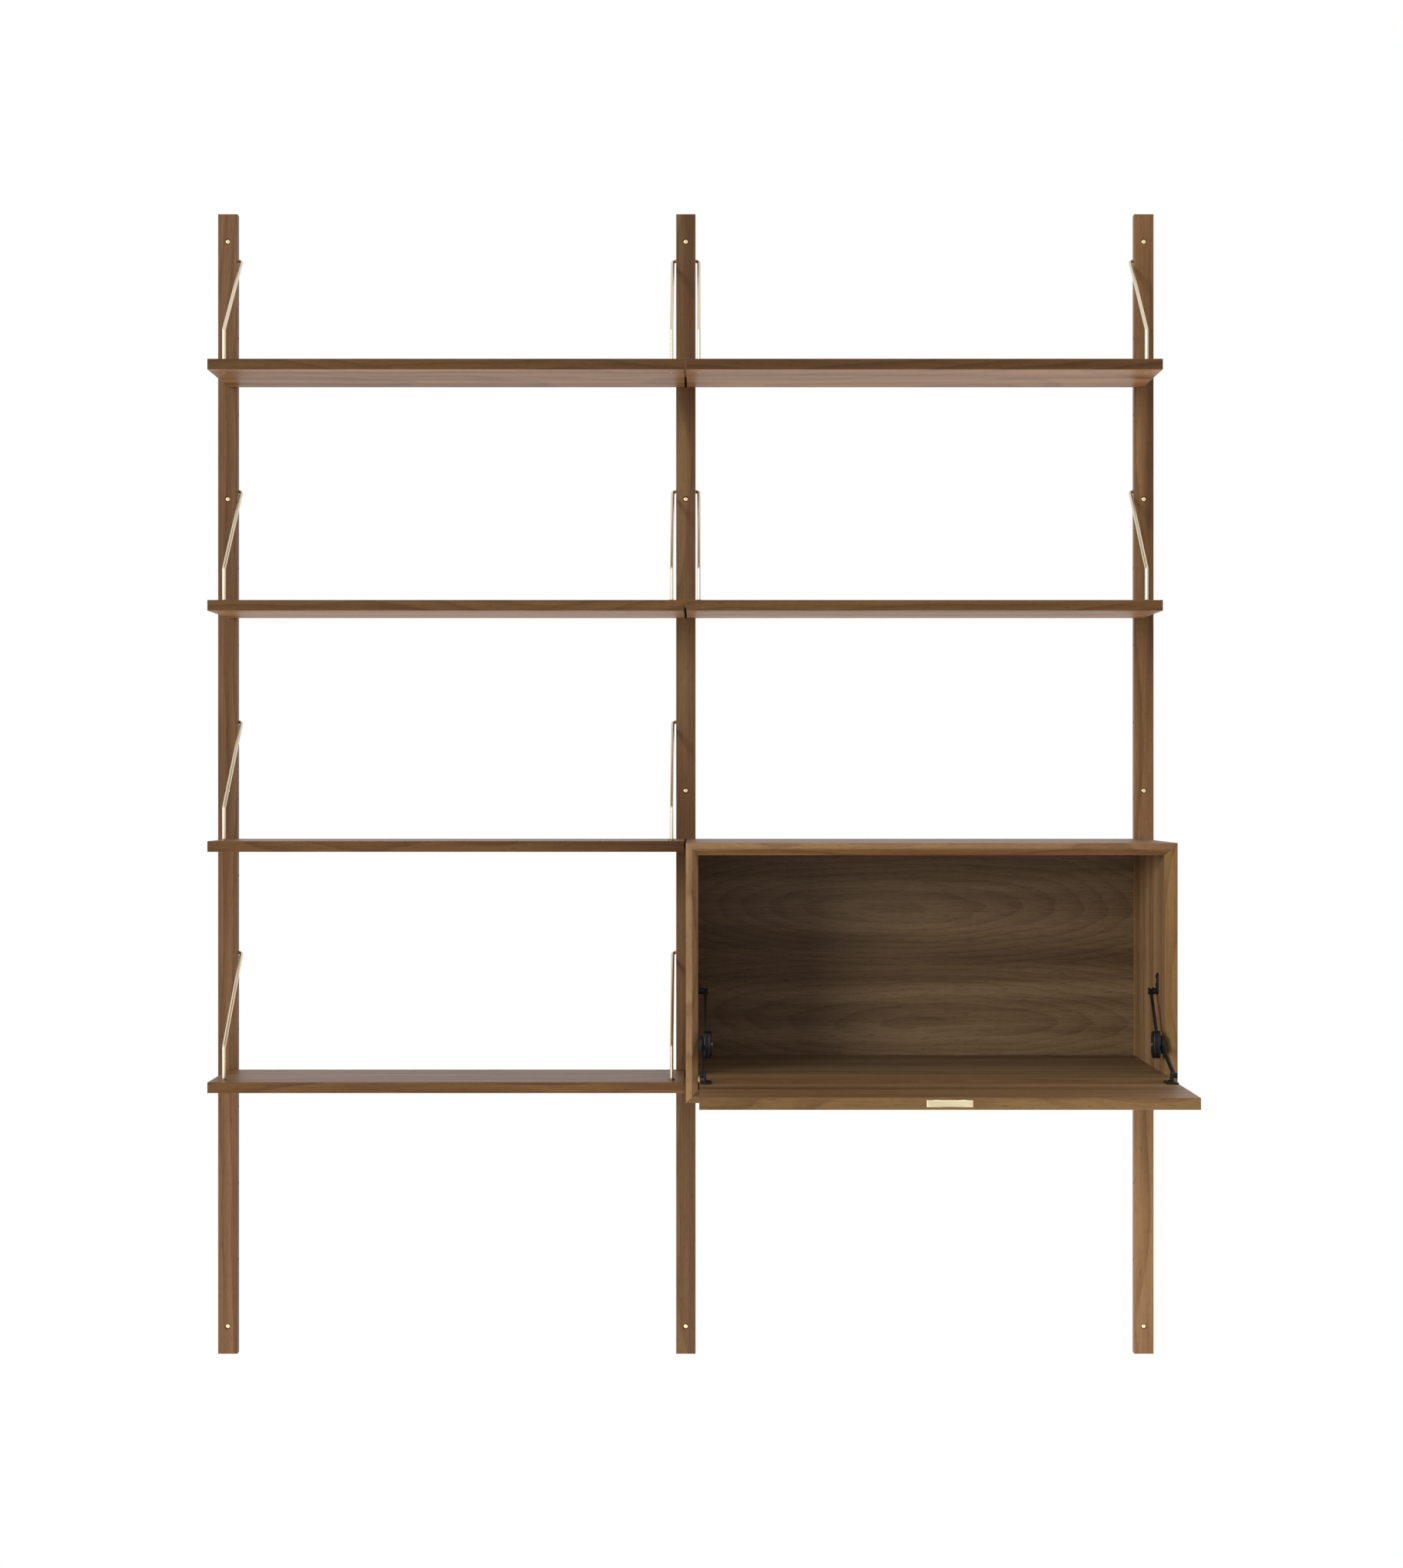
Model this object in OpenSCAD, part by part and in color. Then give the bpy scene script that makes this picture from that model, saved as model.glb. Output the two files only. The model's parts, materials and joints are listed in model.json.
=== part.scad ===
// Two-bay wall shelving: three wall rails, hanging shelves and a drop-front cabinet.
// Origin: back face centre of the middle rail. +X right, +Y into the wall, +Z up. Millimetres.

/* [Wall rails] */
// Height of each rail
rail_h = 2000; // [1900:10:2400]
// Width of each rail
rail_w = 34; // [30:1:42]
// Depth of each rail, from the wall to its front face
rail_d = 20; // [17:1:30]
// Distance between neighbouring rail centre lines
bay_pitch = 804; // [600:1:1000]
// Height above the rail's middle of the top shelf's upper face
top_level = 714; // [650:1:740]
// Distance from one shelf level to the next
level_pitch = 405; // [330:3:420]
// Hanging holes from one shelf level to the next
holes_per_level = 3; // [2:1:4]
// Play of a rod or a peg in a hanging hole, on the diameter
hook_play = 0.2; // [0.1:0.1:0.6]
// Depth of a hanging hole
hang_hole_depth = 12; // [9:0.5:13]

/* [Wall screws] */
// Distance of the first and last wall screw from the rail's ends
screw_end_gap = 48; // [30:1:70]
// Heights of the two wall screws between them
screw_mid_levels = [500, -12]; // [-600:1:600]
// Diameter of a wall screw's shank
screw_dia = 5; // [4:0.5:6]
// Diameter of a wall screw's head
screw_head_dia = 9.6; // [8:0.1:11]
// Length of a wall screw behind the rail
screw_reach = 40; // [25:1:60]

/* [Shelves] */
// Depth of a shelf
shelf_d = 220; // [180:1:320]
// Thickness of a shelf
shelf_t = 18; // [15:1:25]
// Gap from a rail's centre line to the end of a shelf or cabinet
end_gap = 2; // [1:0.5:5]
// Width of the eased edge along each board
arris = 0.8; // [0.4:0.1:1.5]

/* [Rod hangers] */
// Diameter of the hanger rod
rod_dia = 6; // [5:0.5:8]
// Height of the hook above the shelf
hook_rise = 205; // [160:1:240]
// Distance from the rail's side to the rod's centre
rod_side_gap = 6; // [6:0.5:10]
// Distance from the shelf's front edge to the upright end of the rod
rod_front_gap = 42; // [35:1:80]
// Height above the shelf where the rod turns upright
rod_turn_rise = 56; // [45:1:90]
// Radius of the rod's bends, to the rod's centre
rod_bend_r = 6; // [4:0.5:6]
// Depth of the rod's seat in the shelf
rod_seat = 11; // [8:0.5:12]
// Outside diameter of the ferrule round the rod
ferrule_dia = 11; // [9:0.5:14]
// Height of the ferrule above the shelf
ferrule_h = 3; // [2:0.5:5]

/* [Shelf keys] */
// Diameter of a key's stem in the rail
key_stem_dia = 6; // [4:0.5:7]
// Depth of a key's stem in the rail
key_stem_depth = 9; // [6:0.5:10]
// Width of the oval plate of a shared key
key_plate_w = 7; // [6:0.5:10]
// Thickness of the oval plate of a shared key
key_plate_t = 3; // [2:0.5:5]
// Thickness of a key's tongue
key_tongue_t = 3; // [2:0.5:5]
// Reach of a key's tongue in front of the rail
key_tongue_d = 11; // [8:0.5:16]
// Width of a key's tongue
key_tongue_w = 26; // [20:1:32]

/* [Cabinet] */
// Depth of the cabinet
cabinet_d = 370; // [320:1:420]
// Thickness of its outer panels
panel_t = 20; // [18:0.5:24]
// Width of the slope inside the front edge
front_slope = 10; // [6:0.5:12]
// Thickness of the back panel
back_t = 12; // [6:1:15]
// Distance from the cabinet's rear edge to the back panel
back_set_in = 15; // [13:0.5:25]
// Depth of the grooves that hold the back and the floor
groove_d = 5; // [3:0.5:8]
// Thickness of the inner floor board
floor_t = 18; // [12:1:20]
// Height of the inner floor above the cabinet's lower face
floor_rise = 46; // [44:0.5:60]
// Diameter of the dowels in the mitred corners
dowel_dia = 8; // [6:1:10]
// Length of those dowels
dowel_l = 16; // [12:1:20]

/* [Drop-down door] */
// Thickness of the door
door_t = 18; // [16:0.5:20]
// Gap all round the door
door_gap = 2; // [1.5:0.5:4]
// Distance from the hinge line to the door's lower edge
hinge_inset = 15; // [14:0.5:18]
// Width of the slopes on the door's lower edges
door_slope = 3; // [2.5:0.5:5]
// Diameter of the hinge pins
pin_dia = 8; // [6:0.5:9]
// Radial play between a hinge pin and its bush
pin_play = 0.05; // [0.02:0.01:0.08]
// Length of a hinge pin in the door
pin_reach = 14; // [10:1:20]
// Outside diameter of a hinge bush
bush_dia = 12; // [11:0.5:13]
// Width of the pull plate
pull_w = 70; // [50:1:120]
// Height of the pull plate
pull_h = 11; // [9:0.5:13]
// Thickness of the pull plate
pull_t = 4; // [3:0.5:5]
// Depth of the shallow dish in the pull plate
pull_dish = 1.8; // [1:0.1:2.5]
// Diameter of the catch magnet
magnet_dia = 10; // [8:0.5:12]
// Length of the catch magnet
magnet_l = 12; // [8:0.5:15]

/* [Door stays] */
// Distance of the stay's upper pivot behind the hinge line
stay_pivot_back = 56; // [52:1:60]
// Height of the stay's upper pivot above the hinge line
stay_pivot_up = 140; // [138:1:145]
// Distance of the elbow in front of the hinge line, door open
elbow_front = 18; // [14:1:22]
// Height of the elbow above the hinge line, door open
elbow_up = 58; // [56:1:60]
// Distance of the door foot from the hinge line
foot_reach = 150; // [140:1:165]
// Height of the door foot's pivot above the door's inner face
foot_up = 12; // [11:0.5:15]
// Width of a stay arm
arm_w = 8; // [6:0.5:10]
// Thickness of a stay arm
arm_t = 4; // [2:0.5:4]
// Width across the damper housing
damper_w = 28; // [24:1:30]
// Height of the damper housing
damper_h = 45; // [36:1:46]
// Thickness of the damper housing
damper_t = 13; // [11:0.5:14]
// Diameter of the friction disc between the housing and the side panel
disc_dia = 30; // [22:1:32]
// Height of the friction disc beyond the lower arm
disc_t = 3; // [2:0.5:4]
// Diameter of the stay's pivot pins
stay_pin_dia = 4; // [3:0.5:5]

/* [Hidden] */
$fn = 32;

// Overlap that keeps a cut from ending flush with a face
cut = 1;
// Play between a fixed piece and its seat
seat_play = 0.1;

// Clearance of a hole around a screw, on the diameter
shank_play = 0.4;
head_play = 0.8;
end_head_play = 0.6;
bore_play = 0.1;

// Rails and levels
hang_hole_dia = rod_dia + hook_play;
rail_x = [-bay_pitch, 0, bay_pitch];
left_levels = [for (i = [0 : 3]) top_level - i * level_pitch];
right_levels = [for (i = [0 : 1]) left_levels[i]];
hole_pitch = level_pitch / holes_per_level;
first_hole_z = top_level + hook_rise;
lowest_hole_z = -rail_h / 2 + 2.5 * screw_end_gap;
hole_count = floor((first_hole_z - lowest_hole_z) / hole_pitch) + 1;
hole_levels = [for (i = [0 : hole_count - 1]) first_hole_z - i * hole_pitch];
hole_y = -rail_d / 2;
screw_levels = [rail_h / 2 - screw_end_gap, screw_mid_levels[0], screw_mid_levels[1],
                screw_end_gap - rail_h / 2];
screw_head_t = 2.4;
screw_recess = 3;
screw_neck_step = 0.6;

// Shelves and rods
shelf_l = bay_pitch - 2 * end_gap;
rod_x = rail_w / 2 + rod_side_gap;
rod_y = -rail_d - shelf_d + rod_front_gap;
hook_grip = hang_hole_depth - 2;
rod_facets = 24;
bend_step = 15;
end_screw_dia = 3;
end_screw_head_dia = 8;
ferrule_sink = 1;
end_screw_head_t = 2;
end_screw_grip = 8;

// Shelf keys
key_plate_h = shelf_t + 1;
single_key_w = key_tongue_w / 2 - 1;
single_key_x = single_key_w / 2 + end_gap + 1;

// Cabinet box
cabinet_x = end_gap;
cabinet_h = level_pitch + shelf_t;
cabinet_top_z = left_levels[2];
cabinet_low_z = cabinet_top_z - cabinet_h;
cabinet_rear_y = -rail_d;
cabinet_front_y = cabinet_rear_y - cabinet_d;
cabinet_mid_x = cabinet_x + shelf_l / 2;
inner_w = shelf_l - 2 * panel_t;
inner_left_x = cabinet_x + panel_t;
back_front_y = cabinet_rear_y - back_set_in - back_t;
floor_top_z = cabinet_low_z + floor_rise;

// Door: open and level with the inner floor
hinge_z = floor_top_z - door_t / 2;
hinge_y = cabinet_front_y + front_slope + door_t / 2;
door_w = inner_w - 2 * door_gap;
door_reach = cabinet_top_z - panel_t - door_gap - hinge_z;
corner_swing = max(norm([hinge_inset, door_t / 2 - door_slope]),
                   norm([hinge_inset - door_slope, door_t / 2]));
floor_front_y = hinge_y + corner_swing + door_gap;
pull_z = 0.5;
pull_peg_dia = 5;
pull_peg_l = 9;
strike_w = 24;
strike_t = 2;

// Stays: u runs towards the wall and v runs up, from the hinge line
upper_pivot = [stay_pivot_back, stay_pivot_up];
elbow = [-elbow_front, elbow_up];
foot_pivot = [-foot_reach, door_t / 2 + foot_up];
stay_pin_play = 0.05;
side_play = 0.4;
bracket_t = 2.5;
bracket_w = 12;
bracket_h = 36;
pivot_cap_dia = 12;
pivot_cap_t = 2;
pivot_play = 0.3;
disc_s = 1.5;
lower_arm_s = disc_s + disc_t;
damper_s = lower_arm_s + arm_t + side_play;
housing_wall = 1;
upper_arm_s = damper_s + housing_wall;
elbow_bolt_dia = 5;
elbow_head_dia = 8;
elbow_head_t = 1.5;
foot_plate_t = 2.5;
foot_plate_l = 40;
foot_plate_w = 19;
foot_plate_s = door_gap + 0.5;
foot_lug_w = 12;
foot_lug_t = 4;
foot_cap_dia = 10;
foot_cap_t = 1.5;
foot_screw_gap = 13;
small_screw_dia = 3;
small_screw_head_dia = 6.5;
small_screw_l = 11;
small_screw_head_t = 1.6;

function unit(v) = v / norm(v);

// Rectangle with eased corners, from its low corner
module eased_section(wide, high) {
    polygon([
        [arris, 0], [wide - arris, 0], [wide, arris], [wide, high - arris],
        [wide - arris, high], [arris, high], [0, high - arris], [0, arris]
    ]);
}

// Board with eased long edges, from its low corner; its grain runs along X
module board(length, depth, thick) {
    rotate([90, 0, 90]) linear_extrude(height = length) eased_section(depth, thick);
}

// Screw pointing along -Z with its domed head's underside at z = 0
module domed_screw(shank_dia, shank_l, head_dia, head_t) {
    translate([0, 0, -shank_l]) cylinder(d = shank_dia, h = shank_l);
    cylinder(d = head_dia, h = head_t * 0.5);
    translate([0, 0, head_t * 0.5]) cylinder(d1 = head_dia, d2 = head_dia * 0.62, h = head_t * 0.5);
}

// Cylinder along X, centred
module x_cylinder(dia, length) {
    rotate([0, 90, 0]) cylinder(d = dia, h = length, center = true);
}

// --- Wall rails -------------------------------------------------------------

module rail(index) {
    color("#69503a") difference() {
        translate([rail_x[index] - rail_w / 2, -rail_d, -rail_h / 2])
            linear_extrude(height = rail_h) eased_section(rail_w, rail_d);
        for (z = screw_levels) translate([rail_x[index], 0, z]) rotate([90, 0, 0]) {
            translate([0, 0, -cut]) cylinder(d = screw_dia + shank_play, h = rail_d + 2 * cut);
            translate([0, 0, rail_d - screw_recess])
                cylinder(d = screw_head_dia + head_play, h = screw_recess + cut);
        }
        for (z = hole_levels) for (side = [-1, 1])
            translate([rail_x[index] + side * (rail_w / 2 - hang_hole_depth / 2 + cut / 2), hole_y, z])
                x_cylinder(hang_hole_dia, hang_hole_depth + cut);
        for (place = key_places(index)) translate([place.x, 0, place.y]) rotate([90, 0, 0])
            translate([0, 0, rail_d - key_stem_depth - seat_play])
                cylinder(d = key_stem_dia + 2 * seat_play, h = key_stem_depth + cut);
    }
}

// Each screw has a thinner neck in the rail and its full shank in the wall
module wall_screws(index) {
    neck_l = rail_d - screw_recess;
    color("#c9a86a") for (z = screw_levels) translate([rail_x[index], 0, z]) rotate([90, 0, 0]) {
        translate([0, 0, -screw_reach]) cylinder(d = screw_dia, h = screw_reach);
        translate([0, 0, neck_l])
            domed_screw(screw_dia - screw_neck_step, neck_l, screw_head_dia, screw_head_t);
    }
}

// --- Shelf keys -------------------------------------------------------------

// Where a key stands: [x, z] of its stem. A shared key holds two neighbouring shelves.
shared_key_places = [for (z = right_levels) [0, z - shelf_t / 2]];
single_key_places = concat(
    [for (z = left_levels) [rail_x[0] + single_key_x, z - shelf_t / 2]],
    [for (i = [2 : 3]) [-single_key_x, left_levels[i] - shelf_t / 2]],
    [for (z = right_levels) [rail_x[2] - single_key_x, z - shelf_t / 2]]
);
function key_places(index) = [for (p = concat(shared_key_places, single_key_places))
    if (abs(p.x - rail_x[index]) < rail_w / 2) p];

// Key with its stem in the rail's front face and its tongue in the shelf's rear edge
module key_body(place, tongue_w, play) {
    translate([place.x, -rail_d, place.y]) {
        rotate([-90, 0, 0]) cylinder(d = key_stem_dia + 2 * play, h = key_stem_depth + play);
        translate([-tongue_w / 2 - play, -key_tongue_d - play, -key_tongue_t / 2 - play])
            cube([tongue_w + 2 * play, key_tongue_d + play, key_tongue_t + 2 * play]);
    }
}

// Upright oval plate of a shared key
module key_plate(place, play) {
    straight = key_plate_h - key_plate_w;
    translate([place.x, -rail_d, place.y]) rotate([90, 0, 0]) linear_extrude(height = key_plate_t + play) {
        for (end = [-1, 1]) translate([0, end * straight / 2]) circle(d = key_plate_w + 2 * play);
        square([key_plate_w + 2 * play, straight], center = true);
    }
}

module shared_shelf_keys() {
    color("#1d1d1d") for (place = shared_key_places) {
        key_body(place, key_tongue_w, 0);
        key_plate(place, 0);
    }
}

module single_shelf_keys() {
    color("#1d1d1d") for (place = single_key_places) key_body(place, single_key_w, 0);
}

// --- Shelves ----------------------------------------------------------------

module shelf(bay_x, top_z) {
    color("#6b523c") difference() {
        translate([bay_x + end_gap, -rail_d - shelf_d, top_z - shelf_t])
            board(shelf_l, shelf_d, shelf_t);
        for (x = [bay_x + rod_x, bay_x + bay_pitch - rod_x]) translate([x, rod_y, top_z]) {
            translate([0, 0, -rod_seat]) cylinder(d = rod_dia + 2 * seat_play, h = rod_seat + cut);
            translate([0, 0, -ferrule_sink])
                cylinder(d = ferrule_dia + 2 * seat_play, h = ferrule_sink + cut);
            translate([0, 0, -shelf_t - cut])
                cylinder(d = end_screw_dia + shank_play, h = shelf_t - rod_seat + 2 * cut);
            translate([0, 0, -shelf_t - cut])
                cylinder(d = end_screw_head_dia + end_head_play, h = end_screw_head_t + cut + seat_play);
        }
        for (place = shared_key_places) {
            key_body(place, key_tongue_w, seat_play);
            key_plate(place, seat_play);
        }
        for (place = single_key_places) key_body(place, single_key_w, seat_play);
    }
}

// --- Rod hangers ------------------------------------------------------------

// Points of a bend at a corner, tangent to the directions in and out
function bend_points(corner, dir_in, dir_out) = let (
    turn = acos(dir_in * dir_out),
    inward = unit(cross(cross(dir_in, dir_out), dir_in)),
    start = corner - rod_bend_r * tan(turn / 2) * dir_in,
    steps = ceil(turn / bend_step)
) [for (i = [0 : steps]) let (a = turn * i / steps)
    start + rod_bend_r * (sin(a) * dir_in + (1 - cos(a)) * inward)];

// Direction of a path at one of its points
function heading(path, i) = unit(
    (i == 0 ? [0, 0, 0] : unit(path[i] - path[i - 1]))
    + (i == len(path) - 1 ? [0, 0, 0] : unit(path[i + 1] - path[i])));

// A side direction at every point of a path, carried along it without twist
function side_directions(path, i, side) = i == len(path) ? [] :
    let (t = heading(path, i), v = unit(side - (side * t) * t))
    concat([v], side_directions(path, i + 1, v));

// Round rod along a path
module rod_along(path, first_side) {
    sides = side_directions(path, 0, first_side);
    last = len(path) - 1;
    points = [for (i = [0 : last]) for (k = [0 : rod_facets - 1])
        let (t = heading(path, i), a = 360 * k / rod_facets)
        path[i] + rod_dia / 2 * (cos(a) * sides[i] + sin(a) * cross(t, sides[i]))];
    walls = [for (i = [0 : last - 1]) for (k = [0 : rod_facets - 1]) let (
        a = i * rod_facets + k,
        b = i * rod_facets + (k + 1) % rod_facets,
        c = a + rod_facets,
        d = b + rod_facets
    ) each [[a, c, d], [a, d, b]]];
    ends = [[for (k = [0 : rod_facets - 1]) k],
            [for (k = [0 : rod_facets - 1]) last * rod_facets + rod_facets - 1 - k]];
    polyhedron(points, concat(walls, ends));
}

// Rod from a hanging hole, forward and down, then upright into the shelf.
// toward is 1 when the bay lies to the right of the rail, and -1 to the left.
module hanger(index, toward, top_z) {
    hook_z = top_z + hook_rise;
    x = rail_x[index] + toward * rod_x;
    grip = [rail_x[index] + toward * (rail_w / 2 - hook_grip), hole_y, hook_z];
    hook = [x, hole_y, hook_z];
    turn_point = [x, rod_y, top_z + rod_turn_rise];
    foot = [x, rod_y, top_z - rod_seat + seat_play];
    across = [toward, 0, 0];
    slope = unit(turn_point - hook);
    down = [0, 0, -1];
    path = concat([grip], bend_points(hook, across, slope),
                  bend_points(turn_point, slope, down), [foot]);
    color("#cdb98a") difference() {
        rod_along(path, [0, 1, 0]);
        translate(foot - [0, 0, cut]) cylinder(d = end_screw_dia + bore_play, h = end_screw_grip + cut + 1);
    }
}

// Every place where a rod enters a shelf: [x, z of the shelf's upper face]
rod_feet = concat(
    [for (z = left_levels) for (x = [rail_x[0] + rod_x, -rod_x]) [x, z]],
    [for (z = right_levels) for (x = [rod_x, rail_x[2] - rod_x]) [x, z]]
);

module rod_ferrules() {
    color("#3a2f22") for (p = rod_feet) translate([p.x, rod_y, p.y]) difference() {
        union() {
            translate([0, 0, -ferrule_sink]) cylinder(d = ferrule_dia, h = ferrule_sink + ferrule_h * 0.6);
            translate([0, 0, ferrule_h * 0.6])
                cylinder(d1 = ferrule_dia, d2 = ferrule_dia - 2, h = ferrule_h * 0.4);
        }
        translate([0, 0, -ferrule_sink - cut])
            cylinder(d = rod_dia + bore_play, h = ferrule_sink + ferrule_h + 2 * cut);
    }
}

module rod_end_screws() {
    grip_l = shelf_t - rod_seat - end_screw_head_t + end_screw_grip;
    color("#c9a86a") for (p = rod_feet) translate([p.x, rod_y, p.y - shelf_t]) {
        cylinder(d = end_screw_head_dia, h = end_screw_head_t);
        translate([0, 0, end_screw_head_t]) cylinder(d = end_screw_dia, h = grip_l);
    }
}

// --- Cabinet ----------------------------------------------------------------

// Section of a panel: outer face at t = 0, rear edge at r = 0, slope on the inner front edge
module panel_section() {
    polygon([
        [0, arris], [arris, 0], [cabinet_d - arris, 0], [cabinet_d, arris],
        [cabinet_d, panel_t - front_slope], [cabinet_d - front_slope, panel_t], [0, panel_t]
    ]);
}

// Panel of a given length lying on its outer face, both ends cut at 45 degrees inwards.
// Length along X, centred; rear edge at y = 0, front at y = -cabinet_d; outer face at z = 0.
module mitred_panel(length) {
    intersection() {
        translate([-length / 2, 0, 0]) rotate([90, 0, 90]) mirror([1, 0, 0])
            linear_extrude(height = length) panel_section();
        rotate([90, 0, 0]) translate([0, 0, -cut]) linear_extrude(height = cabinet_d + 2 * cut)
            polygon([
                [-length / 2, 0], [length / 2, 0],
                [length / 2 - panel_t, panel_t], [panel_t - length / 2, panel_t]
            ]);
    }
}

// Space taken by the back panel and by the inner floor, grown by a play
module back_space(play) {
    translate([inner_left_x - groove_d - play, back_front_y - play,
               cabinet_low_z + panel_t - groove_d - play])
        cube([inner_w + 2 * (groove_d + play), back_t + 2 * play,
              cabinet_h - 2 * panel_t + 2 * (groove_d + play)]);
}

module floor_space(play) {
    floor_d = back_front_y - floor_front_y;
    translate([inner_left_x - groove_d - play, floor_front_y - play, floor_top_z - floor_t - play])
        cube([inner_w + 2 * (groove_d + play), floor_d - seat_play + 2 * play, floor_t + 2 * play]);
}

// Dowels across the four mitres, three along each; between the back and the front slope
module dowels(play) {
    behind_back = back_set_in + back_t;
    for (sx = [-1, 1]) for (sz = [0, 1]) for (i = [1 : 3])
        translate([
            cabinet_mid_x + sx * (shelf_l / 2 - panel_t / 2),
            cabinet_rear_y - behind_back - i * (cabinet_d - behind_back) / 4,
            sz == 0 ? cabinet_low_z + panel_t / 2 : cabinet_top_z - panel_t / 2
        ])
            rotate([0, (sx > 0) == (sz == 1) ? 45 : -45, 0]) x_dowel(play);
}

module x_dowel(play) {
    x_cylinder(dowel_dia + 2 * play, dowel_l + 2 * play);
}

module cabinet_dowels() {
    color("#b98f5c") dowels(0);
}

module cabinet_top() {
    color("#6b523c") difference() {
        translate([cabinet_mid_x, cabinet_rear_y, cabinet_top_z]) mirror([0, 0, 1])
            mitred_panel(shelf_l);
        back_space(seat_play);
        dowels(seat_play);
        translate([cabinet_mid_x, hinge_y, cabinet_top_z - panel_t - cut])
            cylinder(d = magnet_dia + 2 * seat_play, h = magnet_l + cut + seat_play);
    }
}

module cabinet_bottom() {
    color("#6b523c") difference() {
        translate([cabinet_mid_x, cabinet_rear_y, cabinet_low_z]) mitred_panel(shelf_l);
        back_space(seat_play);
        dowels(seat_play);
    }
}

// Side panel, seen as the left one; toward is 1 for the left side and -1 for the right
module cabinet_side(toward) {
    mid_z = cabinet_low_z + cabinet_h / 2;
    outer_x = cabinet_mid_x - toward * shelf_l / 2;
    color("#6f553e") difference() {
        translate([outer_x, cabinet_rear_y, mid_z]) mirror([toward < 0 ? 1 : 0, 0, 0])
            rotate([0, 90, 0]) mitred_panel(cabinet_h);
        back_space(seat_play);
        floor_space(seat_play);
        dowels(seat_play);
        translate([outer_x + toward * panel_t, hinge_y, hinge_z])
            x_cylinder(pin_dia + 2 * seat_play, 2 * (pin_seat + seat_play));
        at_side(toward) bracket_screw_places()
            translate([0, 0, bracket_t - small_screw_l - seat_play])
                cylinder(d = small_screw_dia + 2 * seat_play, h = small_screw_l + cut);
        hook_screw_places(toward) cylinder(d = small_screw_dia + 2 * seat_play,
                                           h = small_screw_l + seat_play);
    }
}

module cabinet_back() {
    color("#4a3a2c") back_space(0);
}

module cabinet_floor() {
    color("#5e4734") floor_space(0);
}

// --- Cabinet hooks ----------------------------------------------------------

hook_plate_t = 3;
hook_peg_dia = hang_hole_dia - hook_play;
hook_peg_root = hook_plate_t / 2;
hook_rear_gap = 4;
hook_end_margin = 20;
hook_range = [for (z = hole_levels)
    if (z < cabinet_top_z - panel_t - hook_end_margin && z > cabinet_low_z + panel_t + hook_end_margin) z];
hook_levels = [hook_range[0], hook_range[len(hook_range) - 1]];
hook_mid_z = (hook_levels[0] + hook_levels[1]) / 2;
hook_plate_h = hook_levels[0] - hook_levels[1] + 2 * hook_end_margin;

// Screw places of one hook: +Z points into the side panel from its inner face
module hook_screw_places(toward) {
    x = cabinet_mid_x - toward * inner_w / 2;
    for (dz = [-1, 1])
        translate([x, cabinet_rear_y - back_set_in / 2, hook_mid_z + dz * hook_plate_h / 4])
        rotate([0, -toward * 90, 0]) children();
}

// Plate on the side panel behind the back, with two pegs in the rail's hanging holes
module cabinet_hook(toward) {
    inner_x = cabinet_mid_x - toward * inner_w / 2;
    rail_side_x = (toward > 0 ? rail_x[1] : rail_x[2]) + toward * rail_w / 2;
    peg_l = abs(inner_x - rail_side_x) + hook_grip;
    plate_d = back_set_in - seat_play + rail_d - hook_rear_gap;
    color("#2a2a2a") difference() {
        union() {
            translate([toward > 0 ? inner_x : inner_x - hook_plate_t,
                       cabinet_rear_y - back_set_in + seat_play, hook_mid_z - hook_plate_h / 2])
                cube([hook_plate_t, plate_d, hook_plate_h]);
            for (z = hook_levels)
                translate([inner_x - toward * (peg_l - hook_peg_root) / 2, hole_y, z])
                    x_cylinder(hook_peg_dia, peg_l + hook_peg_root);
        }
        hook_screw_places(toward) translate([0, 0, -hook_plate_t - cut])
            cylinder(d = small_screw_dia + shank_play, h = hook_plate_t + 2 * cut);
    }
}

module cabinet_hook_screws() {
    color("#c9a86a") for (toward = [-1, 1]) hook_screw_places(toward)
        translate([0, 0, -hook_plate_t]) mirror([0, 0, 1])
            domed_screw(small_screw_dia, small_screw_l, small_screw_head_dia, small_screw_head_t);
}

// --- Door -------------------------------------------------------------------

// Frame at the hinge line: X as the row's, Y towards the wall, Z up
module at_hinge() {
    translate([cabinet_mid_x, hinge_y, hinge_z]) children();
}

// Frame of one stay: X inwards from the side panel's inner face, Y and Z as at_hinge
module at_side(toward) {
    at_hinge() translate([-toward * inner_w / 2, 0, 0])
        mirror([toward < 0 ? 1 : 0, 0, 0]) rotate([0, 90, 0]) rotate([0, 0, 90]) children();
}

pin_seat = 11;
bush_l = pin_reach + 3;
flange_t = 1.2;
flange_dia = 15;

// Outside of a bush, reaching in from the door's end
module bush_outside(play) {
    x_cylinder(bush_dia + 2 * play, 2 * (bush_l + play));
}

module door_panel() {
    half = door_t / 2;
    color("#76593f") difference() {
        at_hinge() translate([-door_w / 2, 0, 0]) rotate([90, 0, 90])
            linear_extrude(height = door_w) polygon([
                [hinge_inset, door_slope - half], [hinge_inset, half - door_slope],
                [hinge_inset - door_slope, half], [arris - door_reach, half],
                [-door_reach, half - arris], [-door_reach, arris - half],
                [arris - door_reach, -half], [hinge_inset - door_slope, -half]
            ]);
        for (end = [-1, 1]) at_hinge() translate([end * door_w / 2, 0, 0]) bush_outside(seat_play);
        pull_outside(seat_play);
        at_hinge() translate([-strike_w / 2 - seat_play, -door_reach + pull_t, pull_z - pull_h / 2])
            cube([strike_w + 2 * seat_play, strike_t + 2 * seat_play, pull_h + 2 * seat_play]);
        for (toward = [-1, 1]) at_side(toward) foot_screw_places()
            translate([0, 0, foot_plate_t - small_screw_l - seat_play])
                cylinder(d = small_screw_dia + 2 * seat_play, h = small_screw_l + cut);
    }
}

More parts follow.
